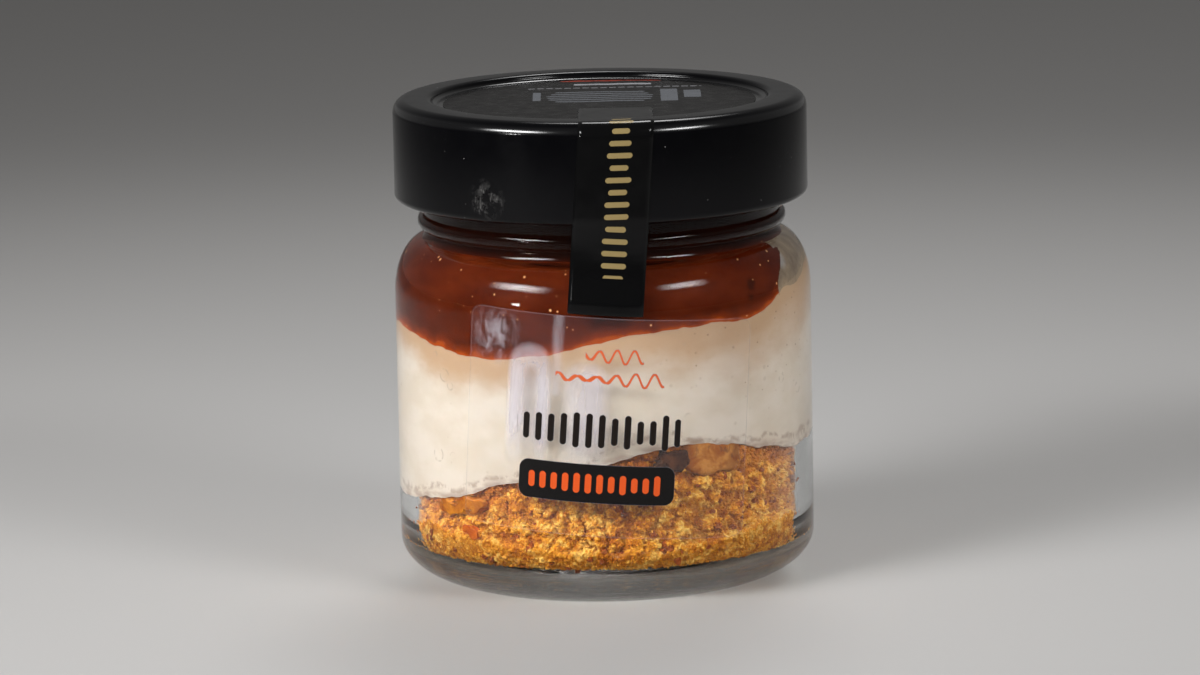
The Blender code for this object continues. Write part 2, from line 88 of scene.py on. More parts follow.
# Filling: an edge on the glass is a mean height, waves (order, swing, crest) and swells (angle, width, rise)
CREAM_TOP_MEAN, CREAM_TOP_CENTRE = 0.0488, 0.0480
CREAM_TOP_WAVES = ((1, 0.0047, 106.3), (2, 0.0019, -89.5), (3, 0.0012, -11.9), (4, 0.0014, 16.2))
CREAM_TOP_SWELLS = ((61.0, 6.5, 0.0019), (102.0, 15.0, -0.0032))
CRUMB_TOP_MEAN, CRUMB_TOP_CENTRE = 0.0217, 0.0235
CRUMB_TOP_WAVES = ((1, 0.0049, 58.5), (2, 0.0015, 16.3), (3, 0.0009, 9.1), (5, 0.0008, 23.9))
CRUMB_TOP_SWELLS = ((-51.0, 11.0, -0.0008), (-27.0, 9.0, 0.0007))
TOFFEE_TOP_Z = 0.0792
EDGE_WOBBLE, EDGE_WOBBLE_SCALE, WOBBLE_ROW_STEP = 0.00050, 190.0, 11.0
WOBBLE_OCTAVES = ((1.0, 1.0), (2.7, 0.5), (6.1, 0.35))
WALL_BITE = 0.00015
TOFFEE_BITE = 0.00018

# Air pocket under the shoulder on the right. Its start moves round to the right with height.
POCKET_START, POCKET_END, POCKET_FADE = 59.5, 122.0, 5.0
POCKET_START_SHIFT, POCKET_SHIFT_FROM_Z = 9.0, 0.0530
POCKET_TOP_RADIUS, POCKET_LEAN, POCKET_TOP_SLACK = 0.0302, 0.10, 0.003
POCKET_SIDE_GAP, POCKET_OPENING = 0.0006, 0.0026

# Crumb: a core that stands back from the glass in clumps with crevices, and lumpy grains that reach the wall
CORE_BACK, CREVICE_DEPTH = 0.00034, 0.0010
CLUMP_PITCHES = ((0.0033, 0.66), (0.0010, 0.34))
GRAIN_SIZE, GRAIN_SPREAD, GRAIN_DENSITY, GRAIN_SEED = 0.00023, 0.45, 2.1e6, 3
CLUMP_SIZE, CLUMP_SPREAD, CLUMP_DENSITY, CLUMP_SEED = 0.00030, 0.40, 2.0e6, 21
BIT_SIZE, BIT_SPREAD, BIT_DENSITY, BIT_SEED = 0.00050, 0.50, 4.5e4, 40

# Crumb pressed flat on the glass: low down, all round but at the two sides
PRESSED_TOP, PRESSED_RISE, PRESSED_FADE = 0.0098, 0.0034, 0.0012
PRESSED_RAGGED, PRESSED_RAGGED_SCALE = 0.0012, 330.0
PRESSED_TURN_FROM, PRESSED_TURN_RUN = -0.90, 0.28

# Banana: a round slice pressed on the glass
BANANA_ANGLE, BANANA_Z, BANANA_RADIUS, BANANA_THICKNESS = 32.0, 0.0262, 0.0075, 0.0068
BANANA_ROUND, BANANA_ROLL = 0.0026, 8.0
BANANA_PRESSED = 0.0014

# Lumps on the glass: angle, height, halves (along the wall, up, inwards), roll and relief (height, scale)
DATE_SHAPE = (19.8, 0.0259, (0.0031, 0.0018, 0.0017), 0.0, (0.0016, 560.0))
CARAMEL_SHAPE = (-46.0, 0.0170, (0.0054, 0.0018, 0.0022), -8.0, (0.0013, 420.0))
NUGGET_SHAPE = (-42.9, 0.0126, (0.0019, 0.0009, 0.0011), 26.0, (0.0008, 800.0))

# Columns round the pieces, and angles from which a fold stays sharp
COLUMNS, CORE_COLUMNS, GLASS_COLUMNS = 360, 720, 256
HARD_EDGE, SOFT_EDGE, ROUGH_EDGE = 50.0, 60.0, 80.0


def arc(centre, run, rise, start, end, steps):
    """Points (r, z) on an ellipse's arc, from one angle to another in degrees."""
    angles = [math.radians(start + (end - start) * i / steps) for i in range(steps + 1)]
    return [(centre[0] + run * math.cos(a), centre[1] + rise * math.sin(a)) for a in angles]


def smooth_step(x):
    x = min(1.0, max(0.0, x))
    return x * x * (3.0 - 2.0 * x)


def at_wall(radius, angle, z):
    """The point at a radius, an angle from the front and a height."""
    turn = math.radians(angle)
    return Vector((radius * math.sin(turn), -radius * math.cos(turn), z))


def bore_radius(z):
    """Radius of the glass's inner wall at a height."""
    corner_z = FLOOR_Z + CORNER_RISE
    if z < corner_z:
        below = min(1.0, (corner_z - z) / CORNER_RISE)
        return BORE_RADIUS - CORNER_RUN * (1.0 - math.sqrt(1.0 - below * below))
    if z <= INNER_SHOULDER_Z:
        return BORE_RADIUS
    if z < INNER_SHOULDER_TOP_Z:
        above = (z - INNER_SHOULDER_Z) / INNER_SHOULDER_RISE
        return MOUTH_RADIUS + (BORE_RADIUS - MOUTH_RADIUS) * math.sqrt(1.0 - above * above)
    return MOUTH_RADIUS


def edge_height(angle, mean, waves, swells):
    """Height of a layer's edge on the glass at an angle."""
    height = mean
    for order, swing, crest in waves:
        height += swing * math.cos(math.radians(order * (angle - crest)))
    for middle, width, rise in swells:
        height += rise * math.exp(-(((angle - middle) / width) ** 2))
    return height


def wobble(angle, row):
    """A small uneven rise and fall of an edge round the jar, a different one for each row number."""
    place = at_wall(BORE_RADIUS, angle, 0.0) * EDGE_WOBBLE_SCALE
    place.z = row * WOBBLE_ROW_STEP
    return EDGE_WOBBLE * sum(share * noise.noise(place * finer) for finer, share in WOBBLE_OCTAVES)


def cream_top_edge(angle):
    return edge_height(angle, CREAM_TOP_MEAN, CREAM_TOP_WAVES, CREAM_TOP_SWELLS) + wobble(angle, 1)


def crumb_top_edge(angle):
    return edge_height(angle, CRUMB_TOP_MEAN, CRUMB_TOP_WAVES, CRUMB_TOP_SWELLS) + wobble(angle, 2)


def pocket_start(z):
    """Angle at which the pocket starts at a height."""
    risen = smooth_step((z - POCKET_SHIFT_FROM_Z) / (INNER_SHOULDER_TOP_Z - POCKET_SHIFT_FROM_Z))
    return POCKET_START + POCKET_START_SHIFT * risen


def pocket_share(angle, z):
    """1 where the toffee stands clear of the shoulder, 0 where it touches the glass."""
    opening = smooth_step((angle - pocket_start(z)) / POCKET_FADE)
    closing = smooth_step((POCKET_END - angle) / POCKET_FADE)
    return min(opening, closing)


def toffee_radius(angle, z):
    """Radius of the toffee's side: just into the glass, or pulled in to a steep side in the pocket."""
    in_glass = bore_radius(z) + TOFFEE_BITE
    below = INNER_SHOULDER_TOP_Z - z
    if below <= 0.0:
        return in_glass
    opened = smooth_step(below / POCKET_OPENING)
    leaning = POCKET_TOP_RADIUS - POCKET_LEAN * below + (1.0 - opened) * POCKET_TOP_SLACK
    pulled_in = min(in_glass - POCKET_SIDE_GAP * opened, leaning)
    return in_glass + (pulled_in - in_glass) * pocket_share(angle, z)


def round_angles(columns):
    return [-180.0 + 360.0 * column / columns for column in range(columns)]


def ring_at(radius, angles, z):
    """A level ring of points."""
    return [at_wall(radius, angle, z) for angle in angles]


def linked(name, data):
    """A new object in the scene for a mesh, a lamp or a camera."""
    made = bpy.data.objects.new(name, data)
    bpy.context.scene.collection.objects.link(made)
    return made


def from_bmesh(name, bm, finish):
    """Turns a bmesh into an object with its finish."""
    mesh = bpy.data.meshes.new(name)
    bm.to_mesh(mesh)
    bm.free()
    mesh.materials.append(finish)
    return linked(name, mesh)


def new_piece(name, points, faces, finish, sharp=40.0, values=None):
    """A mesh object from points and faces, with its finish and named values at its points."""
    mesh = bpy.data.meshes.new(name)
    mesh.from_pydata(points, [], faces)
    mesh.materials.append(finish)
    for value_name, numbers in (values or {}).items():
        numbers = np.asarray(numbers, np.float32)
        kind, field = ("FLOAT", "value") if numbers.ndim == 1 else ("FLOAT_VECTOR", "vector")
        mesh.attributes.new(value_name, kind, "POINT").data.foreach_set(field, numbers.ravel())
    mesh.shade_smooth()
    mesh.set_sharp_from_angle(angle=math.radians(sharp))
    return linked(name, mesh)


def closed_skin(start, rings, end):
    """Points and faces from a centre point below, through rings of one length, to a centre point above."""
    columns = len(rings[0])
    points = [Vector(start)] + [point for ring in rings for point in ring] + [Vector(end)]
    last = len(points) - 1
    faces = []
    for here in range(columns):
        following = (here + 1) % columns
        faces.append((0, 1 + following, 1 + here))
        for row in range(len(rings) - 1):
            low, high = 1 + row * columns, 1 + (row + 1) * columns
            faces.append((low + here, low + following, high + following, high + here))
        top = 1 + (len(rings) - 1) * columns
        faces.append((last, top + here, top + following))
    return points, faces


def turned_piece(name, profile, finish, columns, sharp=40.0):
    """A closed profile turned about Z. It starts and ends on the axis and goes up the outer side."""
    angles = round_angles(columns)
    rings = [ring_at(r, angles, z) for r, z in profile[1:-1]]
    points, faces = closed_skin((0, 0, profile[0][1]), rings, (0, 0, profile[-1][1]))
    return new_piece(name, points, faces, finish, sharp)


def stands_for(piece, slot, *nodes):
    """Puts a finished piece on the part's body, in place of its CAD nodes. The slot it is given is not used.
    """
    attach(piece, BODY)
    if nodes:
        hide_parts(*nodes)
    return piece


# Materials: tools

class Field:
    """An output socket whose value changes over a surface, so that node maths reads as plain sums."""

    def __init__(self, tree, socket):
        self.tree = tree
        self.socket = socket

    def __add__(self, other):
        return maths("ADD", self, other)

    def __sub__(self, other):
        return maths("SUBTRACT", self, other)

    def __rsub__(self, other):
        return maths("SUBTRACT", other, self)

    def __mul__(self, other):
        return maths("MULTIPLY", self, other)

    def __truediv__(self, other):
        return maths("DIVIDE", self, other)

    def __rtruediv__(self, other):
        return maths("DIVIDE", other, self)

    def __pow__(self, other):
        return maths("POWER", self, other)

    def __abs__(self):
        return maths("ABSOLUTE", self)


def feed(value, socket):
    """Links a field to a socket, or sets the socket's own value. Colours are written without their alpha."""
    if isinstance(value, Field):
        value.tree.links.new(value.socket, socket)
    elif socket.type == "RGBA":
        socket.default_value = (*value, 1.0)
    else:
        socket.default_value = value


def node(tree, kind, wanted, settings=None, **inputs):
    """A new node's output as a field, or a list of fields where a tuple is wanted. Sockets go by their name,
    with _ for a space, or by their number as i0, i1 and so on."""
    made = tree.nodes.new(kind)
    for name, value in (settings or {}).items():
        setattr(made, name, value)
    for name, value in inputs.items():
        numbered = name[0] == "i" and name[1:].isdigit()
        feed(value, made.inputs[int(name[1:]) if numbered else name.replace("_", " ")])
    if isinstance(wanted, tuple):
        return [Field(tree, made.outputs[output]) for output in wanted]
    return Field(tree, made.outputs[wanted])


def maths(operation, *terms, clamp=False):
    """A sum of fields and numbers, made in the tree of the first field among them."""
    tree = next(term.tree for term in terms if isinstance(term, Field))
    settings = {"operation": operation, "use_clamp": clamp}
    return node(tree, "ShaderNodeMath", 0, settings, **{"i%d" % i: term for i, term in enumerate(terms)})


def any_of(masks):
    total = masks[0]
    for mask in masks[1:]:
        total = maths("MAXIMUM", total, mask)
    return total


def blend(share, first, second):
    """One colour over another by a share from 0 to 1."""
    return node(share.tree, "ShaderNodeMix", 2, {"data_type": "RGBA"}, i0=share, i6=first, i7=second)


def over(base, *coats):
    """A base colour with coats laid over it one after another, each a mask and a colour."""
    for mask, tint in coats:
        base = blend(mask, base, tint)
    return base


def ramp(value, start, end, at_start=0.0, at_end=1.0):
    """A value moved from one range to another, with soft ends. Either range may run downwards."""
    return node(value.tree, "ShaderNodeMapRange", "Result", {"interpolation_type": "SMOOTHSTEP"}, Value=value,
                From_Min=start, From_Max=end, To_Min=at_start, To_Max=at_end)


def millimetres(tree):
    """Object coordinates in millimetres."""
    place = node(tree, "ShaderNodeTexCoord", "Object")
    return node(tree, "ShaderNodeVectorMath", "Vector", {"operation": "SCALE"}, Vector=place, Scale=1.0 / MM)


def on_film(tree):
    """The layout coordinates that a film carries at its points, in millimetres."""
    return node(tree, "ShaderNodeAttribute", "Vector", {"attribute_name": FILM_LAYOUT})


def carried(tree, name):
    """A number that a piece carries at its points."""
    return node(tree, "ShaderNodeAttribute", "Fac", {"attribute_name": name})


def mapped(place, **placing):
    return node(place.tree, "ShaderNodeMapping", "Vector", Vector=place, **placing)


def along(place, axis):
    return node(place.tree, "ShaderNodeSeparateXYZ", axis, Vector=place)


def away_from(place, centre):
    return node(place.tree, "ShaderNodeVectorMath", "Value", {"operation": "DISTANCE"}, i0=place, i1=centre)


def cloud(place, scale, detail=3.0, roughness=0.5, distortion=0.0):
    """Soft noise about 0.5. A scale of three numbers stretches it along the axes."""
    if isinstance(scale, tuple):
        place, scale = mapped(place, Scale=scale), 1.0
    return node(place.tree, "ShaderNodeTexNoise", "Fac", Vector=place, Scale=scale, Detail=detail,
                Roughness=roughness, Distortion=distortion)


def ragged_spot(place, centre, scale, swing, clear_at, full_at, strength=1.0):
    """A mask that is 0 at one distance from a centre and at its full strength at another, unevenly."""
    reach = cloud(place, scale, 3.0) * swing + away_from(place, centre)
    return ramp(reach, clear_at, full_at, 0.0, strength)


def raised(height, distance, strength):
    """Normals of small relief from a height pattern. The distance is in metres."""
    return node(height.tree, "ShaderNodeBump", "Normal", Height=height, Distance=distance, Strength=strength)


def dress(shader, **inputs):
    for title, value in inputs.items():
        feed(value, shader.inputs[title.replace("_", " ")])


def painted(name, **same_all_over):
    """A new material, its tree and its Principled shader, with the values that are the same all over it."""
    made = bpy.data.materials.new(name)
    made.use_nodes = True
    shader = made.node_tree.nodes["Principled BSDF"]
    dress(shader, **same_all_over)
    return made, made.node_tree, shader


def mask_group(name, numbers):
    """A new shader group from a Vector and named numbers to a Mask: the group, its inputs and its output."""
    group = bpy.data.node_groups.new(name, "ShaderNodeTree")
    group.interface.new_socket("Vector", in_out="INPUT", socket_type="NodeSocketVector")
    for title, value in numbers.items():
        made = group.interface.new_socket(title, in_out="INPUT", socket_type="NodeSocketFloat")
        made.default_value = value
    group.interface.new_socket("Mask", in_out="OUTPUT", socket_type="NodeSocketFloat")
    given = {socket.name: Field(group, socket) for socket in group.nodes.new("NodeGroupInput").outputs}
    return group, given, group.nodes.new("NodeGroupOutput").inputs["Mask"]


SPECK_SMALLEST, SPECK_SOFTNESS = 0.3, 0.4


def make_specks_group():
    """Small round specks, thinly strewn: dust, pits and flecks."""
    group, given, mask = mask_group("Specks", {"Cell": 1.0, "Radius": 0.15, "Share": 0.5})
    tint, distance = node(group, "ShaderNodeTexVoronoi", ("Color", "Distance"), Vector=given["Vector"],
                          Scale=1.0 / given["Cell"])
    red, green = node(group, "ShaderNodeSeparateColor", ("Red", "Green"), Color=tint)
    radius = given["Radius"] * (green + SPECK_SMALLEST)
    disc = maths("DIVIDE", radius - distance, radius * SPECK_SOFTNESS, clamp=True)
    feed(disc * maths("LESS_THAN", red, given["Share"]), mask)
    return group


def make_block_group():
    """A rounded block laid out in millimetres, with an edge as soft as asked."""
    sizes = {"Centre X": 0.0, "Centre Y": 0.0, "Half width": 1.0, "Half height": 1.0, "Corner": 0.3,
             "Soft": 0.05}
    group, given, mask = mask_group("Rounded block", sizes)
    x, y = node(group, "ShaderNodeSeparateXYZ", ("X", "Y"), Vector=given["Vector"])
    beyond = [abs(x - given["Centre X"]) - given["Half width"] + given["Corner"],
              abs(y - given["Centre Y"]) - given["Half height"] + given["Corner"]]
    outer = [maths("MAXIMUM", side, 0.0) ** 2.0 for side in beyond]
    inner = maths("MINIMUM", maths("MAXIMUM", *beyond), 0.0)
    distance = maths("SQRT", outer[0] + outer[1]) + inner - given["Corner"]
    feed(maths("SUBTRACT", 0.5, distance / given["Soft"], clamp=True), mask)
    return group


BAR_SOFTNESS = 0.08


def make_bars_group():
    """A row of upright bars with round ends, evenly spaced. The spread shortens some of them."""
    sizes = {"Pitch": 2.0, "Half width": 0.5, "Half height": 2.0, "Spread": 0.3}
    group, given, mask = mask_group("Bars", sizes)
    x, y = node(group, "ShaderNodeSeparateXYZ", ("X", "Y"), Vector=given["Vector"])
    step = x / given["Pitch"]
    number = maths("FLOOR", step)
    across = (step - number - 0.5) * given["Pitch"]
    drawn = node(group, "ShaderNodeTexWhiteNoise", "Value", {"noise_dimensions": "1D"}, W=number)
    half = given["Half height"] * (1.0 - drawn * given["Spread"]) - given["Half width"]
    above = maths("MAXIMUM", abs(y) - half, 0.0)
    reach = maths("SQRT", across ** 2.0 + above ** 2.0) - given["Half width"]
    feed(maths("SUBTRACT", 0.5, reach / BAR_SOFTNESS, clamp=True), mask)
    return group


SPECKS = make_specks_group()
BLOCK = make_block_group()
BARS = make_bars_group()


def specks(place, cell, radius, share):
    return node(place.tree, "ShaderNodeGroup", "Mask", {"node_tree": SPECKS}, Vector=place, Cell=cell,
                Radius=radius, Share=share)


def block(place, x, y, half_width, half_height, corner, soft=0.06):
    return node(place.tree, "ShaderNodeGroup", "Mask", {"node_tree": BLOCK}, Vector=place, Centre_X=x,
                Centre_Y=y, Half_width=half_width, Half_height=half_height, Corner=corner, Soft=soft)


def barred(place, shape, pitch, half_width, half_height, spread=0.0, lying=False):
    """A block cut into bars: upright ones side by side, or lying ones in a column."""
    centre, turn = (shape[0], math.pi / 2) if lying else (shape[1], 0.0)
    turned = mapped(place, Location=(0.0, -centre, 0.0), Rotation=(0.0, 0.0, turn))
    row = node(place.tree, "ShaderNodeGroup", "Mask", {"node_tree": BARS}, Vector=turned, Pitch=pitch,
               Spread=spread, Half_width=half_width, Half_height=half_height)
    return block(place, *shape) * row


def spot_on_glass(angle, z):
    """The point of the inner wall at an angle and a height, in millimetres."""
    return at_wall(bore_radius(z * MM) / MM, angle, z)


# Materials: finishes. Colours are linear red, green and blue, and lengths are in millimetres.

GLASS_TINT, GLASS_SHADOW_TINT = (0.955, 0.975, 0.965), (0.93, 0.95, 0.94)
GLASS_SPECULAR_TINT = (0.3, 0.3, 0.3)
FOOT_RIPPLE_FROM_Z, FOOT_RIPPLE_FULL_Z = 7.5, 4.0


def glass_finish():
    """Clear jar glass, with the faint ripple of the pressed foot. Light goes straight in to the filling."""
    made, tree, shader = painted("jar_glass", Base_Color=GLASS_TINT, Specular_Tint=GLASS_SPECULAR_TINT,
                                 Roughness=0.0, IOR=1.5, Transmission_Weight=1.0)
    place = millimetres(tree)
    ripple = cloud(place, (0.10, 0.10, 3.6), 4.0, 0.6)
    foot = ramp(along(place, "Z"), FOOT_RIPPLE_FROM_Z, FOOT_RIPPLE_FULL_Z)
    dress(shader, Normal=raised(ripple * foot, 0.0004, 0.7))
    see_through = node(tree, "ShaderNodeBsdfTransparent", "BSDF", Color=GLASS_SHADOW_TINT)
    lighting = node(tree, "ShaderNodeLightPath", "Is Shadow Ray")
    surface = Field(tree, shader.outputs["BSDF"])
    mixed = node(tree, "ShaderNodeMixShader", 0, Fac=lighting, i1=surface, i2=see_through)
    feed(mixed, tree.nodes["Material Output"].inputs["Surface"])
    return made


LACQUER_BLACK, LACQUER_PALE = (0.0010, 0.0010, 0.0016), (0.36, 0.35, 0.34)
SCUFF_PLACE, SCUFF_REACH, SCUFF_CORE = (-19.5, -30.5, 71.5), 4.2, 0.4
# Gloss on the crown: heights where it starts and is full, where it ends and is still full, and its strength
CROWN_GLOSS_LOW, CROWN_GLOSS_HIGH, CROWN_GLOSS = (82.9, 83.4), (84.5, 84.0), 0.85


def lacquer_finish():
    """Black satin lacquer, glossier round the crown, with dust and one whitish scuff low on the side."""
    made, tree, shader = painted("lid_lacquer", Specular_IOR_Level=0.20, Coat_Roughness=0.17)
    place = millimetres(tree)
    near = ramp(away_from(place, SCUFF_PLACE), SCUFF_REACH, SCUFF_CORE)
    slanted = mapped(place, Rotation=(0.5, 0.6, 0.0), Scale=(3.4, 3.4, 0.7))
    strokes = ramp(cloud(slanted, 1.0, 4.0, 0.7, 0.3), 0.46, 0.70)
    smudge = ramp(cloud(place, 0.55, 5.0, 0.7), 0.44, 0.66)
    scuff = near * (smudge * (strokes * 0.85 + 0.15))
    dust = specks(place, 1.8, 0.055, 0.42)
    pale = any_of([scuff * 0.9, dust * 0.7])
    satin = ramp(cloud(place, 0.35, 4.0), 0.3, 0.7, 0.11, 0.17)
    height = along(place, "Z")
    crown = ramp(height, *CROWN_GLOSS_LOW, 0.0, CROWN_GLOSS) * ramp(height, *CROWN_GLOSS_HIGH)
    dress(shader, Base_Color=blend(pale, LACQUER_BLACK, LACQUER_PALE), Roughness=satin + pale * 0.4,
          Coat_Weight=crown, Normal=raised(cloud(place, 6.0, 2.0), 0.000006, 0.6))
    return made


STICKER_BLACK, STICKER_DUST, STICKER_GREY = (0.0065, 0.0058, 0.0056), (0.35, 0.34, 0.33), (0.17, 0.18, 0.20)
STICKER_PALE, STICKER_RED = (0.36, 0.36, 0.38), (0.36, 0.040, 0.018)

# Blocks printed on a film: centre across and up, half width, half height and corner
STICKER_LINE, STICKER_BAND = (2.1, 25.0, 9.1, 0.75, 0.7), (2.4, 20.3, 6.9, 0.9, 0.4)
STICKER_RULE, STICKER_ROWS = (2.6, 15.9, 15.6, 0.5, 0.4), (0.1, 4.9, 9.5, 6.7, 0.3)
STICKER_BLOCKS = ((-11.0, 5.5, 0.7, 5.2, 0.3), (12.3, 5.4, 1.5, 7.4, 0.3), (16.4, 6.6, 1.5, 4.6, 0.3))
SEAL_COLUMN = (0.9, 34.6, 3.0, 16.9, 0.3)
LABEL_ROW = (-1.7, -0.6, 14.3, 3.5, 0.1)
LABEL_BAR, LABEL_BAR_ROW = (-1.6, -9.8, 13.6, 3.35, 1.7), (-1.6, -9.8, 11.9, 2.4, 0.1)


def sticker_finish():
    """Black satin film with a red-orange line, a pale band, a ruled line, grey rows and blocks, and dust."""
    made, tree, shader = painted("sticker_film", Specular_IOR_Level=0.10)
    place = on_film(tree)
    dust = specks(millimetres(tree), 2.6, 0.045, 0.35)
    ruled = barred(place, STICKER_RULE, 1.6, 0.6, 0.9)
    rows = barred(place, STICKER_ROWS, 2.3, 0.55, 9.5, 0.3, lying=True)
    grey = any_of([rows] + [block(place, *shape) for shape in STICKER_BLOCKS])
    pale = any_of([block(place, *STICKER_BAND), ruled * 0.5])
    base = over(STICKER_BLACK, (dust * 0.7, STICKER_DUST), (grey * 0.8, STICKER_GREY), (pale, STICKER_PALE),
                (block(place, *STICKER_LINE), STICKER_RED))
    dress(shader, Base_Color=base, Roughness=ramp(cloud(place, 0.4), 0.3, 0.7, 0.22, 0.38),
          Normal=raised(cloud(place, 0.5, 3.0, 0.5, 0.6), 0.00016, 0.5))
    return made


SEAL_BLACK, SEAL_GOLD = (0.0026, 0.0026, 0.0028), (0.31, 0.230, 0.096)


def seal_finish():
    """Black gloss film with a column of plain gold bars and a few trapped bubbles."""
    made, tree, shader = painted("seal_film", Specular_IOR_Level=0.2)
    place = on_film(tree)
    gold = barred(place, SEAL_COLUMN, 2.1, 0.46, 2.2, 0.35, lying=True)
    swell = cloud(place, (0.16, 0.10, 1.0), 2.0)
    bubbles = specks(place, 3.4, 0.10, 0.25)
    dress(shader, Base_Color=blend(gold, SEAL_BLACK, SEAL_GOLD), Roughness=ramp(gold, 0.0, 1.0, 0.13, 0.34),
          Normal=raised(bubbles * 0.12 + swell, 0.0004, 0.4))
    return made


LABEL_HAZE, LABEL_LINE_ORANGE, LABEL_BROWN = (0.74, 0.70, 0.77), (0.70, 0.12, 0.035), (0.010, 0.006, 0.004)
LABEL_BLACK, LABEL_ORANGE = (0.005, 0.004, 0.004), (0.80, 0.105, 0.018)

# Wavy lines on the label: start of the slow wave, height, pace of the quick wave, left end and right end
FLOURISHES = ((0.9, 12.4, 2.1, -4.6, 5.4), (-0.2, 8.4, 1.9, -9.6, 9.2))
FLOURISH_SWING, FLOURISH_SWELL, SLOW_PACE = 0.75, 0.4375, 0.31
STROKE_HALF_WIDTH, STROKE_ON_SLOPES, STROKE_SOFTNESS = 0.2, 0.28, 0.10

# Air under the label, as blocks that also give how soft their edge is
ARCH, ARCH_HOLLOW = (-14.2, 1.6, 3.6, 11.8, 3.4, 1.3), (-13.9, -4.4, 1.4, 14.0, 1.3, 1.4)
PILLAR, TORN_PATCH = (-4.1, 0.4, 3.2, 10.0, 3.0, 2.6), (-20.8, 14.0, 3.6, 4.2, 2.6, 3.0)
THIN_STREAK = (-9.5, 13.0, 0.80, 8.0, 0.7, 1.0)
LABEL_RIM, LABEL_CLEAREST = 0.14, 0.012


def flourish(place, start, height, pace, left, right):
    """A thin wavy line. Its quick wave swells and sinks with the slow one."""
    across, up = along(place, "X"), along(place, "Y")
    slow = maths("SINE", across * SLOW_PACE + start)
    line = maths("SINE", across * pace) * (slow * FLOURISH_SWELL + FLOURISH_SWING) + height
    half_width = abs(maths("COSINE", across * pace)) * STROKE_ON_SLOPES + STROKE_HALF_WIDTH
    stroke = maths("DIVIDE", half_width - abs(up - line), STROKE_SOFTNESS, clamp=True)
    return stroke * block(place, (left + right) / 2, height, (right - left) / 2, 3.0, 0.2)


def trapped_air(place):
    """Pale smears where air is trapped under the label: an arch, a pillar, a torn patch and a thin streak."""
    up = along(place, "Y")
    streak = cloud(place, (0.5, 0.12, 1.0), 5.0, 0.65, 0.6)
    blotched = cloud(place, (0.30, 0.20, 1.0), 5.0, 0.7, 0.8)
    torn = ramp(streak * 0.4 + blotched * 0.6, 0.40, 0.62)
    fading = ramp(up, -9.0, 0.0)
    on_cream = ramp(up, 12.5, 7.0, 0.42, 1.0)
    arch = block(place, *ARCH) * (1.0 - block(place, *ARCH_HOLLOW) * 0.62) * fading
    pillar = block(place, *PILLAR) * fading
    hazes = [arch * on_cream * 0.54, pillar * 0.34, block(place, *TORN_PATCH) * torn * 0.24,
             block(place, *THIN_STREAK) * 0.17]
    return any_of(hazes) * ramp(streak, 0.3, 0.6, 0.55, 1.0)


def label_finish():
    """Clear film with printed shapes, a faint edge, and pale smears where air is trapped under it."""
    made, tree, shader = painted("label_film", Specular_IOR_Level=0.2, Roughness=0.16)
    place = on_film(tree)
    lines = any_of([flourish(place, *shape) for shape in FLOURISHES])
    dark = barred(place, LABEL_ROW, 2.2, 0.56, 3.1, 0.4)
    bar = block(place, *LABEL_BAR)
    orange = barred(place, LABEL_BAR_ROW, 1.98, 0.55, 1.75, 0.3)
    base = over(LABEL_HAZE, (lines, LABEL_LINE_ORANGE), (dark, LABEL_BROWN), (bar, LABEL_BLACK),
                (orange, LABEL_ORANGE))
    half_width, half_height = LABEL_WIDTH / MM / 2 - LABEL_RIM, LABEL_HEIGHT / MM / 2 - LABEL_RIM
    edge = 1.0 - block(place, 0.0, 0.0, half_width, half_height, 2.0, 0.12)
    cover = any_of([trapped_air(place), edge * 0.08, any_of([lines, dark, bar]) * 0.985])
    dress(shader, Base_Color=base, Alpha=maths("MAXIMUM", cover, LABEL_CLEAREST))
    return made


TOFFEE_DEEP, TOFFEE_WARM = (0.056, 0.0070, 0.0015), (0.104, 0.0150, 0.0030)
TOFFEE_MOTTLE, TOFFEE_THIN = (0.088, 0.0100, 0.0020), (0.17, 0.022, 0.002)
TOFFEE_THINNEST, TOFFEE_AIR_GLINT = (0.36, 0.056, 0.002), (0.80, 0.38, 0.16)
TOFFEE_NECK_SHADE, TOFFEE_DARK_SPOT = (0.009, 0.0020, 0.0010), (0.022, 0.006, 0.003)
TOFFEE_NECK_SHADE_FROM_Z, TOFFEE_NECK_SHADE_FULL_Z = 57.5, 61.5

# Dark spots in the toffee against the glass: angle, height and radius
TOFFEE_DARK_SPOTS = ((47.6, 54.3, 0.8), (46.6, 52.4, 0.5))


def toffee_finish():
    """Dark red-brown toffee that glows orange where it thins out over the cream, with specks of air painted
    bright as glints, and painted shade up in the neck.
    """
    made, tree, shader = painted("toffee", Roughness=0.32, Specular_IOR_Level=0.01)
    place = millimetres(tree)
    drift = ramp(cloud(place, (0.12, 0.12, 0.3), 4.0), 0.3, 0.7)
    mottle = ramp(cloud(place, 0.75, 5.0, 0.7, 0.4), 0.36, 0.64, 0.0, 0.5)
    thin = carried(tree, "above_rim_mm") + (cloud(place, 0.35, 4.0) - 0.5) * 2.6
    # Painted shade: the toffee darkens up into the neck, under the lid.
    neck = ramp(along(place, "Z"), TOFFEE_NECK_SHADE_FROM_Z, TOFFEE_NECK_SHADE_FULL_Z)
    # The specks of air are painted bright, as glints.
    base = over(TOFFEE_DEEP, (drift, TOFFEE_WARM), (mottle, TOFFEE_MOTTLE),
                (ramp(thin, 2.4, 0.7), TOFFEE_THIN), (ramp(thin, 0.9, 0.1), TOFFEE_THINNEST),
                (specks(place, 1.3, 0.16, 0.34), TOFFEE_AIR_GLINT), (neck, TOFFEE_NECK_SHADE))
    for angle, z, reach in TOFFEE_DARK_SPOTS:
        dark_spot = ragged_spot(place, spot_on_glass(angle, z), 1.6, 1.2, reach + 1.1, reach + 0.3, 0.7)
        base = blend(dark_spot, base, TOFFEE_DARK_SPOT)
    dress(shader, Base_Color=base)
    return made


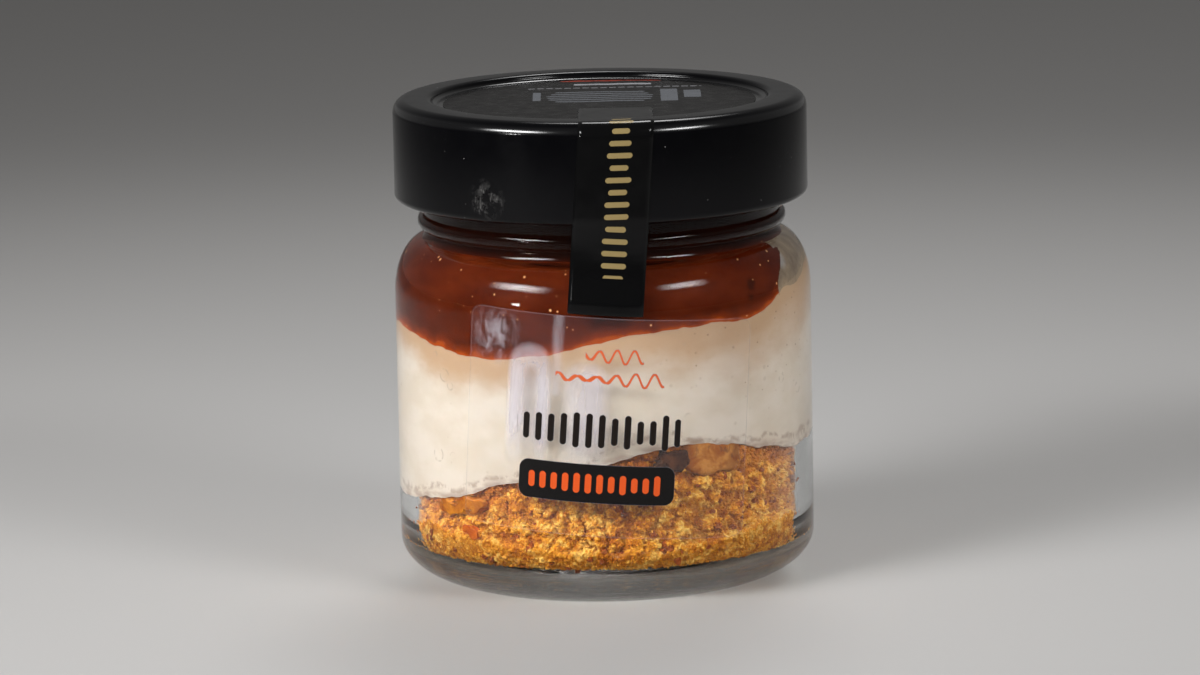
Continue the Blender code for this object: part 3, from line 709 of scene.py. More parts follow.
CREAM_SHADED, CREAM_LIGHT, CREAM_STAINED = (0.665, 0.575, 0.480), (0.725, 0.640, 0.560), (0.53, 0.350, 0.220)
CREAM_FLECK, CREAM_PIT_SHADE, CREAM_BUBBLE_SHADE = (0.25, 0.145, 0.09), (0.42, 0.32, 0.24), (0.36, 0.29, 0.22)
CREAM_FOOT, CREAM_LINE = (0.40, 0.28, 0.225), (0.31, 0.205, 0.150)

# Air bubbles in the cream against the glass: angle, height and radius. The bubbles are not modelled; their
# edges are painted as dim open rings of shade
CREAM_BUBBLES = ((-52.0, 39.6, 1.1), (-49.5, 37.9, 0.7), (-55.5, 25.4, 1.2), (-49.0, 25.6, 0.6),
                 (-56.0, 43.0, 0.5), (60.0, 37.2, 0.7), (70.0, 34.5, 0.9), (24.0, 33.5, 0.5))


def cream_finish():
    """Whipped cream: off-white, tan and flecked below the toffee, greyer at its foot, with small bubbles and
    pits painted as dim rings and dots of shade.
    """
    made, tree, shader = painted("cream", Roughness=0.5, Specular_IOR_Level=0.1, Subsurface_Weight=0.15,
                                 Subsurface_Scale=0.0025, Subsurface_Radius=(1.0, 0.7, 0.5))
    place = millimetres(tree)
    wide = cloud(place, (0.10, 0.10, 0.16), 4.0, 0.55)
    right, above = carried(tree, "right_share"), carried(tree, "above_crumb_mm")
    reach = (carried(tree, "below_toffee_mm") + (wide - 0.5) * 9.0) / (right * 5.0 + 6.0)
    flecks = specks(place, 1.0, 0.16, 0.5) * (right * ramp(reach, 2.0, 0.8))
    # Painted shade: small darker dots stand for pits in the cream.
    pits = specks(place, 2.6, 0.14, 0.4)
    greasy = ramp(cloud(place, (0.3, 0.3, 0.8), 4.0), 0.35, 0.6)
    foot = ramp(above + wide * 1.2, 2.2, 0.8) * greasy
    drawn_up = ramp(cloud(place, 0.11), 0.3, 0.7, 0.5, 2.6)
    line = ramp(abs(above - drawn_up), 0.85, 0.1) * ramp(cloud(place, 0.5, 4.0, 0.7), 0.42, 0.56)
    base = over(CREAM_SHADED, (ramp(wide, 0.35, 0.65), CREAM_LIGHT), (ramp(reach, 1.3, 0.15), CREAM_STAINED),
                (flecks * 0.8, CREAM_FLECK), (pits * 0.28, CREAM_PIT_SHADE), (foot * 0.75, CREAM_FOOT),
                (line * 0.55, CREAM_LINE))
    part = ramp(cloud(place, 0.8), 0.45, 0.6)
    # Painted shade: dim open rings at the edges of the bubbles.
    for angle, z, radius in CREAM_BUBBLES:
        ring = abs(away_from(place, spot_on_glass(angle, z)) - radius)
        base = blend(ramp(ring, 0.22, 0.04) * part * 0.5, base, CREAM_BUBBLE_SHADE)
    dress(shader, Base_Color=base)
    return made


# Biscuit from toasted to pale, as a share and a colour
BISCUIT_STEPS = ((0.0, (0.33, 0.083, 0.005)), (0.25, (0.52, 0.162, 0.008)), (0.6, (0.70, 0.287, 0.020)),
                 (1.0, (0.84, 0.50, 0.110)))
CRUMB_SOAKED, CRUMB_TOASTED = (0.38, 0.092, 0.009), (0.24, 0.055, 0.018)
CRUMB_CARAMEL, CRUMB_CREVICE_SHADE = (0.46, 0.130, 0.008), (0.27, 0.066, 0.008)

# Crumb soaked through with caramel against the glass: angle, height and reach
SOAKED_SPOTS = ((44.4, 24.6, 3.0), (-57.0, 15.4, 2.4), (-31.0, 17.8, 2.0))


def crumb_colour(place, tone):
    """Golden biscuit, pale to toasted, with red-brown patches of caramel, most of them under the cream, and
    painted shade down in the crevices between clumps.
    """
    tree = place.tree
    steps = tree.nodes.new("ShaderNodeValToRGB")
    feed(tone, steps.inputs["Fac"])
    elements = steps.color_ramp.elements
    while len(elements) < len(BISCUIT_STEPS):
        elements.new(0.5)
    for element, (position, tint) in zip(elements, BISCUIT_STEPS):
        element.position, element.color = position, (*tint, 1.0)
    wet = ramp(carried(tree, "below_cream_mm"), 4.5, 0.2, 0.0, 0.19)
    soaked = ramp(cloud(place, 0.36, 4.0, 0.65) + wet, 0.57, 0.67)
    toasted = ramp(cloud(place, 0.80, 3.0, 0.6, 0.3), 0.61, 0.69)
    biscuit = Field(tree, steps.outputs["Color"])
    base = over(biscuit, (soaked * 0.72, CRUMB_SOAKED), (toasted * 0.62, CRUMB_TOASTED))
    for angle, z, reach in SOAKED_SPOTS:
        spot = ragged_spot(place, spot_on_glass(angle, z), 0.9, 3.0, reach + 2.0, reach + 0.6, 0.7)
        base = blend(spot, base, CRUMB_CARAMEL)
    # Painted shade: the colour darkens down in the crevices between clumps.
    return blend(ramp(carried(tree, "crevice"), 0.35, 1.0, 0.0, 0.70), base, CRUMB_CREVICE_SHADE)


def crumb_drift(place):
    """Slow change of the biscuit's tone, in clumps a few millimetres across."""
    wide = ramp(cloud(place, 0.26, 3.0, 0.6), 0.38, 0.62, 0.0, 0.36)
    return wide + ramp(cloud(place, 0.62, 3.0, 0.6), 0.40, 0.60, 0.0, 0.44)


def crumb_core_finish():
    made, tree, shader = painted("crumb_core", Roughness=0.75, Specular_IOR_Level=0.2)
    place = millimetres(tree)
    fine = ramp(cloud(place, 1.6, 4.0, 0.7), 0.32, 0.70, -0.06, 0.34)
    tone = maths("ADD", crumb_drift(place), fine, clamp=True)
    dress(shader, Base_Color=crumb_colour(place, tone),
          Normal=raised(cloud(place, 2.4, 4.0, 0.7), 0.0004, 0.8))
    return made


def crumb_grain_finish():
    made, tree, shader = painted("crumb_grain", Roughness=0.7, Specular_IOR_Level=0.2)
    place = millimetres(tree)
    tone = maths("MULTIPLY_ADD", carried(tree, "grain_tone"), 0.34, crumb_drift(place), clamp=True)
    dress(shader, Base_Color=crumb_colour(place, tone))
    return made


# Painted highlight: pale specks that stand for glints on the moist pieces.
PALE_GLINT_SPECKS = (0.75, 0.62, 0.45)


def soft_piece_finish(name, pale, deep, roughness, scale, speckling=(0.28, 0.5), speck_tint=PALE_GLINT_SPECKS):
    """A moist piece of fruit or caramel, mottled between two colours, with small specks of a given tint: by
    default pale painted glints, for the date golden crumbs. Its speck numbers are how many specks there are
    and how strong they are."""
    made, tree, shader = painted(name, Roughness=roughness, Specular_IOR_Level=0.15, Subsurface_Weight=0.15,
                                 Subsurface_Scale=0.0015)
    place = millimetres(tree)
    mottle = ramp(cloud(place, scale, 5.0, 0.65, 0.4), 0.32, 0.68)
    amount, strength = speckling
    flecks = specks(place, 1.1, 0.16, amount)
    dress(shader, Base_Color=over(deep, (mottle, pale), (flecks * strength, speck_tint)))
    return made


BANANA_DEEP, BANANA_PALE, BANANA_BRUISED = (0.36, 0.108, 0.020), (0.62, 0.270, 0.068), (0.15, 0.060, 0.036)
BANANA_RIM, BANANA_CRUMB = (0.22, 0.074, 0.024), (0.62, 0.28, 0.045)


def banana_finish():
    """Ripe banana against the glass: tan and orange-brown clouds, with bruised brown veins, darker towards
    its rim.
    """
    made, tree, shader = painted("banana", Roughness=0.45, Specular_IOR_Level=0.05, Subsurface_Weight=0.1,
                                 Subsurface_Scale=0.0015)
    place = millimetres(tree)
    clouds = ramp(cloud(place, 0.33, 5.0, 0.62, 0.4), 0.38, 0.62)
    veins = ramp(cloud(mapped(place, Scale=(0.9, 0.9, 0.7)), 0.60, 5.0, 0.65, 0.7), 0.56, 0.68)
    middle = at_wall((BORE_RADIUS + WALL_BITE) / MM, BANANA_ANGLE, BANANA_Z / MM)
    rim = ragged_spot(place, middle, 0.6, 3.0, 4.4, 6.4)
    speckling = rim * specks(place, 0.9, 0.24, 0.45)
    dress(shader, Base_Color=over(BANANA_DEEP, (clouds, BANANA_PALE), (veins * 0.72, BANANA_BRUISED),
                                  (rim * 0.7, BANANA_RIM), (speckling * 0.8, BANANA_CRUMB)))
    return made


SMEAR_SPOT = (65.7, 56.6)
SMEAR_DARK, SMEAR_LIGHT = (0.215, 0.160, 0.112), (0.310, 0.232, 0.162)
SMEAR_PALE, SMEAR_EDGE = (0.40, 0.38, 0.37), (0.46, 0.345, 0.235)


def smear_finish():
    """Greasy smear that the dessert left on the pocket's glass: dull brown-grey, with one paler spot."""
    made, tree, shader = painted("pocket_smear", Roughness=0.5, Specular_IOR_Level=0.05)
    place = millimetres(tree)
    mottle = ramp(cloud(place, 0.35, 4.0, 0.6), 0.35, 0.65)
    spot = ramp(away_from(place, spot_on_glass(*SMEAR_SPOT)), 2.1, 0.7, 0.0, 0.8)
    above_cream = along(on_film(tree), "Z")
    edge = ramp(cloud(place, 0.5) * 2.4 + above_cream, 3.4, 1.2, 0.0, 0.85)
    cover = ramp(cloud(place, 0.5, 4.0, 0.6, 0.5), 0.3, 0.7, 0.66, 0.90)
    dress(shader, Base_Color=over(SMEAR_DARK, (mottle, SMEAR_LIGHT), (spot, SMEAR_PALE), (edge, SMEAR_EDGE)),
          Alpha=cover)
    return made


# Glass and lid

# Curve of the hollow under the foot, as shares of its radius and of its rise
PUNT_CURVE = ((0.0, 1.0), (0.55, 0.96), (0.86, 0.7), (1.0, 0.0))
GROOVE_FILLET = (0.00006, 0.0006)
LIP_SLIMMING = 0.7


def make_jar():
    foot = [(PUNT_RADIUS * out, PUNT_RISE * up) for out, up in PUNT_CURVE]
    heel = arc((BODY_RADIUS - HEEL_RUN, HEEL_RISE), HEEL_RUN, HEEL_RISE, -90, 0, 28)
    shoulder = arc((GROOVE_RADIUS, SHOULDER_Z), BODY_RADIUS - GROOVE_RADIUS, SHOULDER_RISE, 0, 86, 28)
    groove = [(GROOVE_RADIUS + GROOVE_FILLET[0], SHOULDER_Z + SHOULDER_RISE + GROOVE_FILLET[1])]
    bead = arc((GROOVE_RADIUS, BEAD_Z), BEAD_RADIUS - GROOVE_RADIUS, BEAD_HALF_HEIGHT, -90, 84, 18)
    thread = arc((FINISH_RADIUS, THREAD_Z), THREAD_RADIUS - FINISH_RADIUS, THREAD_HALF_HEIGHT, -84, 84, 14)
    lip = arc((FINISH_RADIUS - RIM_ROUND, RIM_Z - RIM_ROUND), RIM_ROUND, RIM_ROUND, 0, 90, 8)
    slim = RIM_ROUND * LIP_SLIMMING
    lip += arc((MOUTH_RADIUS + slim, RIM_Z - RIM_ROUND), slim, RIM_ROUND, 90, 180, 8)
    inside = arc((MOUTH_RADIUS, INNER_SHOULDER_Z), BORE_RADIUS - MOUTH_RADIUS, INNER_SHOULDER_RISE, 90, 0, 24)
    corner = arc((BORE_RADIUS - CORNER_RUN, FLOOR_Z + CORNER_RISE), CORNER_RUN, CORNER_RISE, 0, -90, 20)
    profile = foot + heel + shoulder + groove + bead + thread + lip + inside + corner + [(0.0, FLOOR_Z)]
    stands_for(turned_piece("glass_jar", profile, glass_finish(), GLASS_COLUMNS, HARD_EDGE), "glass", "jar")


def offset_inwards(line, thickness):
    """The same line of (r, z) moved by a thickness to its right, seen along it."""
    moved = []
    for i, (r, z) in enumerate(line):
        before, after = line[max(i - 1, 0)], line[min(i + 1, len(line) - 1)]
        run, rise = after[0] - before[0], after[1] - before[1]
        length = math.hypot(run, rise)
        moved.append((max(0.0, r + rise / length * thickness), z - run / length * thickness))
    return moved


def make_lid():
    """Sheet metal lid: its outer line from the recess over the crown to the curl, and its inner face."""
    recess_z = LID_TOP_Z - LID_RECESS_DEPTH
    step_rise = LID_RECESS_DEPTH / 2
    outer = [(0.0, recess_z), (LID_RECESS_RADIUS * 0.5, recess_z)]
    outer += arc((LID_RECESS_RADIUS - LID_STEP_RUN, recess_z + step_rise), LID_STEP_RUN, step_rise, -90, 0, 8)
    ring = arc((LID_RECESS_RADIUS + LID_STEP_RUN, LID_TOP_Z - step_rise), LID_STEP_RUN, step_rise, 180, 90, 8)
    outer += ring[1:]
    outer += arc((LID_RADIUS - LID_SHOULDER, LID_TOP_Z - LID_SHOULDER), LID_SHOULDER, LID_SHOULDER, 90, 0, 18)
    outer += arc((LID_RADIUS - LID_CURL, LID_BOTTOM_Z + LID_CURL), LID_CURL, LID_CURL, 0, -215, 20)
    profile = offset_inwards(outer, LID_SHEET) + outer[::-1]
    lid = turned_piece("twist_lid", profile, lacquer_finish(), GLASS_COLUMNS, HARD_EDGE)
    stands_for(lid, "lid_lacquer", "lid")


# Films

def film_sheet(name, rows, columns, place_at, finish, thickness=FILM_SHEET):
    """A thin film whose points run from right to left in rows, from the top down. The function place_at gives
    each point and its place in the film's layout."""
    points, places = zip(*[place_at(row, column) for row in range(rows + 1) for column in range(columns + 1)])
    width = columns + 1
    corners = [row * width + column for row in range(rows) for column in range(columns)]
    faces = [(here, here + 1, here + width + 1, here + width) for here in corners]
    piece = new_piece(name, points, faces, finish, values={FILM_LAYOUT: places})
    film = piece.modifiers.new("Film", "SOLIDIFY")
    film.thickness = thickness
    film.offset = 1.0
    return piece


STICKER_RINGS, STICKER_COLUMNS = 48, 240
STICKER_THICKNESS = 0.00016
STICKER_RIM_SHARE, STICKER_RIM_FROM, STICKER_RIM_RUN = 0.35, 0.93, 0.07
WRINKLE, SWELL_SHARE, SWELL_SCALE = 0.00009, 0.7, 0.16
CREASE_SHARE, CREASE_SCALE, CREASE_NARROWNESS, CREASE_LAYER = 0.6, 0.30, 3.2, 4.0


def sticker_relief(x, y):
    """Wrinkles of the sticker: long low swells, and creases that run in from the rim."""
    place = Vector((x, y, 0.0)) / MM
    share = min(1.0, math.hypot(x, y) / STICKER_RADIUS)
    swell = noise.noise(place * SWELL_SCALE)
    fold = noise.noise(Vector((place.x * CREASE_SCALE, place.y * CREASE_SCALE, CREASE_LAYER)))
    crease = max(0.0, 1.0 - abs(fold) * CREASE_NARROWNESS)
    return WRINKLE * (SWELL_SHARE * swell + CREASE_SHARE * crease * share**2)


def make_sticker():
    """A flat underside, and a wrinkled top that thins out to the rim."""
    base_z = LID_TOP_Z - LID_RECESS_DEPTH + FILM_OFF
    angles = round_angles(STICKER_COLUMNS)
    flat_rings, wrinkled_rings = [], []
    for ring in range(1, STICKER_RINGS + 1):
        radius = STICKER_RADIUS * ring / STICKER_RINGS
        fade = 1.0 - smooth_step((ring / STICKER_RINGS - STICKER_RIM_FROM) / STICKER_RIM_RUN)
        thickness = STICKER_THICKNESS * (STICKER_RIM_SHARE + (1.0 - STICKER_RIM_SHARE) * fade)
        flat_rings.append(ring_at(radius, angles, base_z))
        wrinkled = ring_at(radius, angles, base_z)
        for point in wrinkled:
            point.z = base_z + thickness + sticker_relief(point.x, point.y) * fade
        wrinkled_rings.append(wrinkled)
    top_z = base_z + STICKER_THICKNESS + sticker_relief(0.0, 0.0)
    points, faces = closed_skin((0, 0, base_z), flat_rings + wrinkled_rings[::-1], (0, 0, top_z))
    places = [(p.x / MM, p.y / MM, 0.0) for p in points]
    piece = new_piece("lid_sticker_film", points, faces, sticker_finish(), SOFT_EDGE, {FILM_LAYOUT: places})
    stands_for(piece, "sticker", "lid_sticker")


STRIP_COLUMNS, STRIP_ROWS = 16, 119
STRIP_LIFT_RADIUS, STRIP_CLIMB_RADII, STRIP_CLIMB_EASE = 0.0264, (0.0285, 0.0296, 0.0306), 0.0003
STRIP_SKIRT_SHARES, STRIP_BRIDGE_STEPS = (0.7, 0.35, 0.0), 10
STRIP_WRAP_RADIUS, STRIP_WRAP_RUN = 0.0255, 0.0030


def strip_path():
    """Middle line of the strip as (distance from the axis, height), from the sticker down to the glass."""
    on_sticker = LID_TOP_Z - LID_RECESS_DEPTH + STICKER_THICKNESS + WRINKLE + 2 * FILM_OFF
    flat_radii = (STRIP_TOP_Y, (STRIP_TOP_Y + STICKER_RADIUS) / 2, STRIP_LIFT_RADIUS)
    climb = (on_sticker + STRIP_CLIMB_EASE, LID_TOP_Z - STRIP_CLIMB_EASE, LID_TOP_Z + FILM_OFF)
    path = [(radius, on_sticker) for radius in flat_radii] + list(zip(STRIP_CLIMB_RADII, climb))
    reach = LID_SHOULDER + FILM_OFF
    path += arc((LID_RADIUS - LID_SHOULDER, LID_TOP_Z - LID_SHOULDER), reach, reach, 90, 0, 12)
    on_lid, on_glass = LID_RADIUS + FILM_OFF, BODY_RADIUS + FILM_OFF
    skirt_end, landing = LID_BOTTOM_Z + LID_CURL, SHOULDER_Z + STRIP_LANDING
    skirt = LID_TOP_Z - LID_SHOULDER - skirt_end
    path += [(on_lid, skirt_end + skirt * share) for share in STRIP_SKIRT_SHARES]
    for i in range(1, STRIP_BRIDGE_STEPS + 1):
        share = i / STRIP_BRIDGE_STEPS
        sag = STRIP_SLACK * math.sin(math.pi * share)
        path.append((on_lid + (on_glass - on_lid) * share - sag, skirt_end + (landing - skirt_end) * share))
    return path + [(on_glass, STRIP_END_Z)]


def evenly(path, count):
    """Points at even steps along a path, each with its distance from the path's start."""
    reached = [0.0]
    for first, second in zip(path, path[1:]):
        reached.append(reached[-1] + math.dist(first, second))
    wanted = np.linspace(0.0, reached[-1], count)
    radii = np.interp(wanted, reached, [p[0] for p in path])
    heights = np.interp(wanted, reached, [p[1] for p in path])
    return list(zip(radii, heights, wanted))


def make_strip():
    """On the lid's top the strip runs straight back, and from the crown down it leans with the label."""
    slant = math.tan(math.radians(FILM_TILT))
    path = evenly(strip_path(), STRIP_ROWS + 1)

    def place_at(row, column):
        radius, z, reached = path[row]
        offset = STRIP_WIDTH * (0.5 - column / STRIP_COLUMNS)
        x = STRIP_CENTRE_X + (min(z, LID_TOP_Z) - STRIP_END_Z) * slant + offset
        wrapped = smooth_step((radius - STRIP_WRAP_RADIUS) / STRIP_WRAP_RUN)
        depth = radius + (math.sqrt(radius * radius - x * x) - radius) * wrapped
        drop = offset * slant if z < LID_BOTTOM_Z else 0.0
        return Vector((x, -depth, z - drop)), (offset / MM, reached / MM, 0.0)

    strip = film_sheet("seal_strip_film", STRIP_ROWS, STRIP_COLUMNS, place_at, seal_finish(), FILM_SHEET / 2)
    stands_for(strip, "seal_film", "seal_strip")


LABEL_ROWS, LABEL_COLUMNS, LABEL_CORNER_STEPS = 56, 72, 8


def make_label():
    """The label is wrapped on the front of the glass and turned by its tilt, with round corners."""
    half_w, half_h = LABEL_WIDTH / 2, LABEL_HEIGHT / 2
    tilt = math.radians(FILM_TILT)
    turns = [math.radians(90 * i / LABEL_CORNER_STEPS) for i in range(LABEL_CORNER_STEPS + 1)]
    corner_rows = [half_h - LABEL_CORNER * (1 - math.cos(turn)) for turn in turns]
    middle = half_h - LABEL_CORNER
    heights = corner_rows + [middle - 2 * middle * i / LABEL_ROWS for i in range(1, LABEL_ROWS)]
    heights += [-height for height in reversed(corner_rows)]

    def place_at(row, column):
        v = heights[row]
        into_corner = max(0.0, abs(v) - middle)
        width = half_w - LABEL_CORNER + math.sqrt(max(0.0, LABEL_CORNER**2 - into_corner**2))
        u = width * (1 - 2 * column / LABEL_COLUMNS)
        across = u * math.cos(tilt) + v * math.sin(tilt)
        up = v * math.cos(tilt) - u * math.sin(tilt)
        angle = LABEL_CENTRE_ANGLE + math.degrees(across / BODY_RADIUS)
        return at_wall(BODY_RADIUS + FILM_OFF, angle, LABEL_CENTRE_Z + up), (u / MM, v / MM, 0.0)

    label = film_sheet("clear_label_film", len(heights) - 1, LABEL_COLUMNS, place_at, label_finish())
    stands_for(label, "clear_film", "film_label")


# Filling

CREAM_TOP_DISH, CRUMB_TOP_DISH = 3, 2


def cream_top(angle, share):
    """Height of the cream's top at a share of the way out from the axis."""
    return CREAM_TOP_CENTRE + (cream_top_edge(angle) - CREAM_TOP_CENTRE) * share**CREAM_TOP_DISH


def crumb_top(angle, share):
    return CRUMB_TOP_CENTRE + (crumb_top_edge(angle) - CRUMB_TOP_CENTRE) * share**CRUMB_TOP_DISH


def shares(steps):
    """Even steps up to 1, without 0."""
    return [step / steps for step in range(1, steps + 1)]


def side_ring(radius_at, angles, heights):
    return [at_wall(radius_at(angle, z), angle, z) for angle, z in zip(angles, heights)]


def between(lows, highs, share):
    return [low + (high - low) * share for low, high in zip(lows, highs)]


SURFACE_RINGS = 14
TOFFEE_SIDE_STEPS, TOFFEE_SIDE_BUNCHING = 22, 1.4
TOFFEE_NECK_HEIGHTS = (0.0620, 0.0660, 0.0720, TOFFEE_TOP_Z)
TOFFEE_DOME_SHARES, TOFFEE_DOME_RISE = (0.9, 0.5), 0.0002
TOFFEE_TOP_ABOVE_RIM = 30.0


def make_toffee():
    """Toffee from the cream's top up into the neck, just into the glass round its side."""
    angles = round_angles(COLUMNS)
    edges = [cream_top_edge(a) for a in angles]
    rims = [toffee_radius(a, z) for a, z in zip(angles, edges)]
    in_glass = [bore_radius(z) + TOFFEE_BITE for z in edges]
    rings = [[at_wall(rim * share, a, cream_top(a, rim * share / wall))
              for a, rim, wall in zip(angles, rims, in_glass)] for share in shares(SURFACE_RINGS)]
    above = [0.0] * (SURFACE_RINGS * COLUMNS)
    lows = [point.z for point in rings[-1]]
    tops = [INNER_SHOULDER_TOP_Z] * COLUMNS
    heights = [between(lows, tops, share**TOFFEE_SIDE_BUNCHING) for share in shares(TOFFEE_SIDE_STEPS)]
    heights += [[z] * COLUMNS for z in TOFFEE_NECK_HEIGHTS]
    for level in heights:
        rings.append(side_ring(toffee_radius, angles, level))
        above += [(z - low) / MM for z, low in zip(level, lows)]
    dome_z = TOFFEE_TOP_Z + TOFFEE_DOME_RISE
    for share in TOFFEE_DOME_SHARES:
        rings.append(ring_at((MOUTH_RADIUS + TOFFEE_BITE) * share, angles, dome_z))
        above += [(TOFFEE_TOP_Z - low) / MM for low in lows]
    points, faces = closed_skin((0, 0, CREAM_TOP_CENTRE), rings, (0, 0, dome_z))
    values = {"above_rim_mm": [0.0] + above + [TOFFEE_TOP_ABOVE_RIM]}
    piece = new_piece("toffee_fill", points, faces, toffee_finish(), SOFT_EDGE, values)
    stands_for(piece, "toffee", "toffee_layer")


SMEAR_END, SMEAR_LEAD, SMEAR_ROWS, SMEAR_COLUMNS = 124.0, 1.5, 20, 48
SMEAR_MARGIN, SMEAR_OFF, SMEAR_SHEET = 0.0003, 0.00002, 0.00012
SMEAR_FITTING_ROUNDS = 3


def make_pocket_smear():
    """The smear covers the pocket's glass from the cream's edge up to the neck, just into the wall."""
    top = INNER_SHOULDER_TOP_Z - SMEAR_MARGIN

    def place_at(row, column):
        """A point's height and its angle depend on each other, so it is fitted in a few rounds."""
        z = top
        for _ in range(SMEAR_FITTING_ROUNDS):
            angle = SMEAR_END + (pocket_start(z) - SMEAR_LEAD - SMEAR_END) * column / SMEAR_COLUMNS
            low = cream_top_edge(angle) - SMEAR_MARGIN
            z = top + (low - top) * row / SMEAR_ROWS
        return at_wall(bore_radius(z) - SMEAR_OFF, angle, z), (angle, z / MM, (z - low) / MM)

    smear = film_sheet("pocket_smear_film", SMEAR_ROWS, SMEAR_COLUMNS, place_at, smear_finish(), SMEAR_SHEET)
    stands_for(smear, "cream")


CREAM_OVERLAP = 0.0002
CREAM_FOOT_RINGS, CREAM_SIDE_STEPS, CREAM_DEPTH_INSIDE = 10, 30, 10.0
CREAM_RIGHT_FROM, CREAM_RIGHT_RISE, CREAM_RIGHT_TO, CREAM_RIGHT_FALL = -10.0, 55.0, 150.0, 40.0


def right_share(angle):
    """1 on the right of the jar, where the cream is stained and flecked, 0 on the left."""
    rising = smooth_step((angle - CREAM_RIGHT_FROM) / CREAM_RIGHT_RISE)
    return rising * smooth_step((CREAM_RIGHT_TO - angle) / CREAM_RIGHT_FALL)


def make_cream():
    """Cream between the crumb and the toffee, climbing the glass to the pocket on the right. Its top laps a
    little into the toffee, so no gap shows."""
    angles = round_angles(COLUMNS)
    lows = [crumb_top_edge(a) for a in angles]
    highs = [cream_top_edge(a) for a in angles]
    foot_radii = [bore_radius(low) + WALL_BITE for low in lows]
    top_radii = [bore_radius(high) + WALL_BITE for high in highs]
    rings = [[at_wall(radius * share, a, crumb_top(a, share)) for a, radius in zip(angles, foot_radii)]
             for share in shares(CREAM_FOOT_RINGS)]
    rings += [side_ring(lambda angle, z: bore_radius(z) + WALL_BITE, angles, between(lows, highs, share))
              for share in shares(CREAM_SIDE_STEPS)[:-1]]
    laps = [CREAM_OVERLAP * (1.0 - pocket_share(a, high)) for a, high in zip(angles, highs)]
    for share in reversed(shares(SURFACE_RINGS)):
        rings.append([at_wall(radius * share, a, cream_top(a, share) + lap * (share < 1.0))
                      for a, radius, lap in zip(angles, top_radii, laps)])
    below = [max(0.0, (high - point.z) / MM) for ring in rings for high, point in zip(highs, ring)]
    above = [max(0.0, (point.z - low) / MM) for ring in rings for low, point in zip(lows, ring)]
    points, faces = closed_skin((0, 0, CRUMB_TOP_CENTRE), rings, (0, 0, CREAM_TOP_CENTRE))
    values = {"below_toffee_mm": [CREAM_DEPTH_INSIDE] + below + [0.0],
              "above_crumb_mm": [0.0] + above + [CREAM_DEPTH_INSIDE],
              "right_share": [0.0] + [right_share(a) for a in angles] * len(rings) + [0.0]}
    piece = new_piece("cream_fill", points, faces, cream_finish(), SOFT_EDGE, values)
    stands_for(piece, "cream", "cream_layer")


def pressed_share(angle, z):
    """1 where crumb is pressed flat on the glass: low down, up to a ragged edge, except at the sides."""
    turned = math.cos(math.radians(2.0 * angle))
    facing = smooth_step((turned - PRESSED_TURN_FROM) / PRESSED_TURN_RUN)
    ragged = PRESSED_RAGGED * noise.noise(at_wall(BORE_RADIUS, angle, 0.0) * PRESSED_RAGGED_SCALE)
    top = PRESSED_TOP + PRESSED_RISE * 0.5 * (1.0 - turned) + ragged
    return facing * smooth_step((top + PRESSED_FADE - z) / PRESSED_FADE)


# Hollows that the pressed pieces make in the crumb: angle, height, half width and half height in metres
HOLLOWS = ((BANANA_ANGLE, BANANA_Z, 0.0050, 0.0033), (*DATE_SHAPE[:2], 0.0026, 0.0014),
           (*CARAMEL_SHAPE[:2], 0.0046, 0.0013), (*NUGGET_SHAPE[:2], 0.0013, 0.0009))
HOLLOW_DEPTH, HOLLOW_EDGE, HOLLOW_FADE = 0.0020, 1.15, 0.35


def hollow_share(angle, z):
    """1 within the hollow of a pressed piece, falling to 0 at its edge."""
    share = 0.0
    for middle, height, half_width, half_height in HOLLOWS:
        across = math.radians(angle - middle) * BORE_RADIUS / half_width
        up = (z - height) / half_height
        share = max(share, smooth_step((HOLLOW_EDGE - math.hypot(across, up)) / HOLLOW_FADE))
    return share


CREVICE_HALF_WIDTH = 0.42
CLUMP_WARP, CLUMP_WARP_SCALE, CLUMP_WARP_SHIFTS = 0.0006, 500.0, (0.0, 31.7, 67.3)


def crevice_share(angle, z):
    """0 on top of the clumps that the crumb holds together in, 1 down in the crevices between them."""
    spot = at_wall(BORE_RADIUS, angle, z)
    shifted = [spot * CLUMP_WARP_SCALE + Vector((shift, shift, shift)) for shift in CLUMP_WARP_SHIFTS]
    spot = spot + CLUMP_WARP * Vector([noise.noise(place) for place in shifted])
    rise = 0.0
    for pitch, share in CLUMP_PITCHES:
        distances = noise.voronoi(spot / pitch)[0]
        rise += share * smooth_step((distances[1] - distances[0]) / CREVICE_HALF_WIDTH)
    return 1.0 - rise


CREVICE_SHARPNESS = 1.2
PRESSED_BITE, PRESSED_CREVICE_BITE, PRESSED_CREVICE_SHADE_CUT = 0.9, 0.5, 0.35


def core_radius(angle, z, crevice):
    """Radius of the crumb's core: clumpy and standing back from the glass, or pressed just into it."""
    wall = bore_radius(z)
    loose = wall - CORE_BACK - CREVICE_DEPTH * crevice**CREVICE_SHARPNESS
    pressed = wall + WALL_BITE * (PRESSED_BITE - PRESSED_CREVICE_BITE * crevice)
    radius = loose + (pressed - loose) * pressed_share(angle, z)
    return radius - HOLLOW_DEPTH * hollow_share(angle, z)


CORE_LIFT, CORE_FIRST_LIFT = 0.0002, 0.0001
CORE_FLOOR_SHARES, CORE_TOP_SHARES = (0.35, 0.7, 0.98), (0.93, 0.75, 0.5, 0.25)
CORE_SIDE_STEPS, CORE_SIDE_BUNCHING = 84, 1.15
CORE_FLOOR_BELOW = 9.0


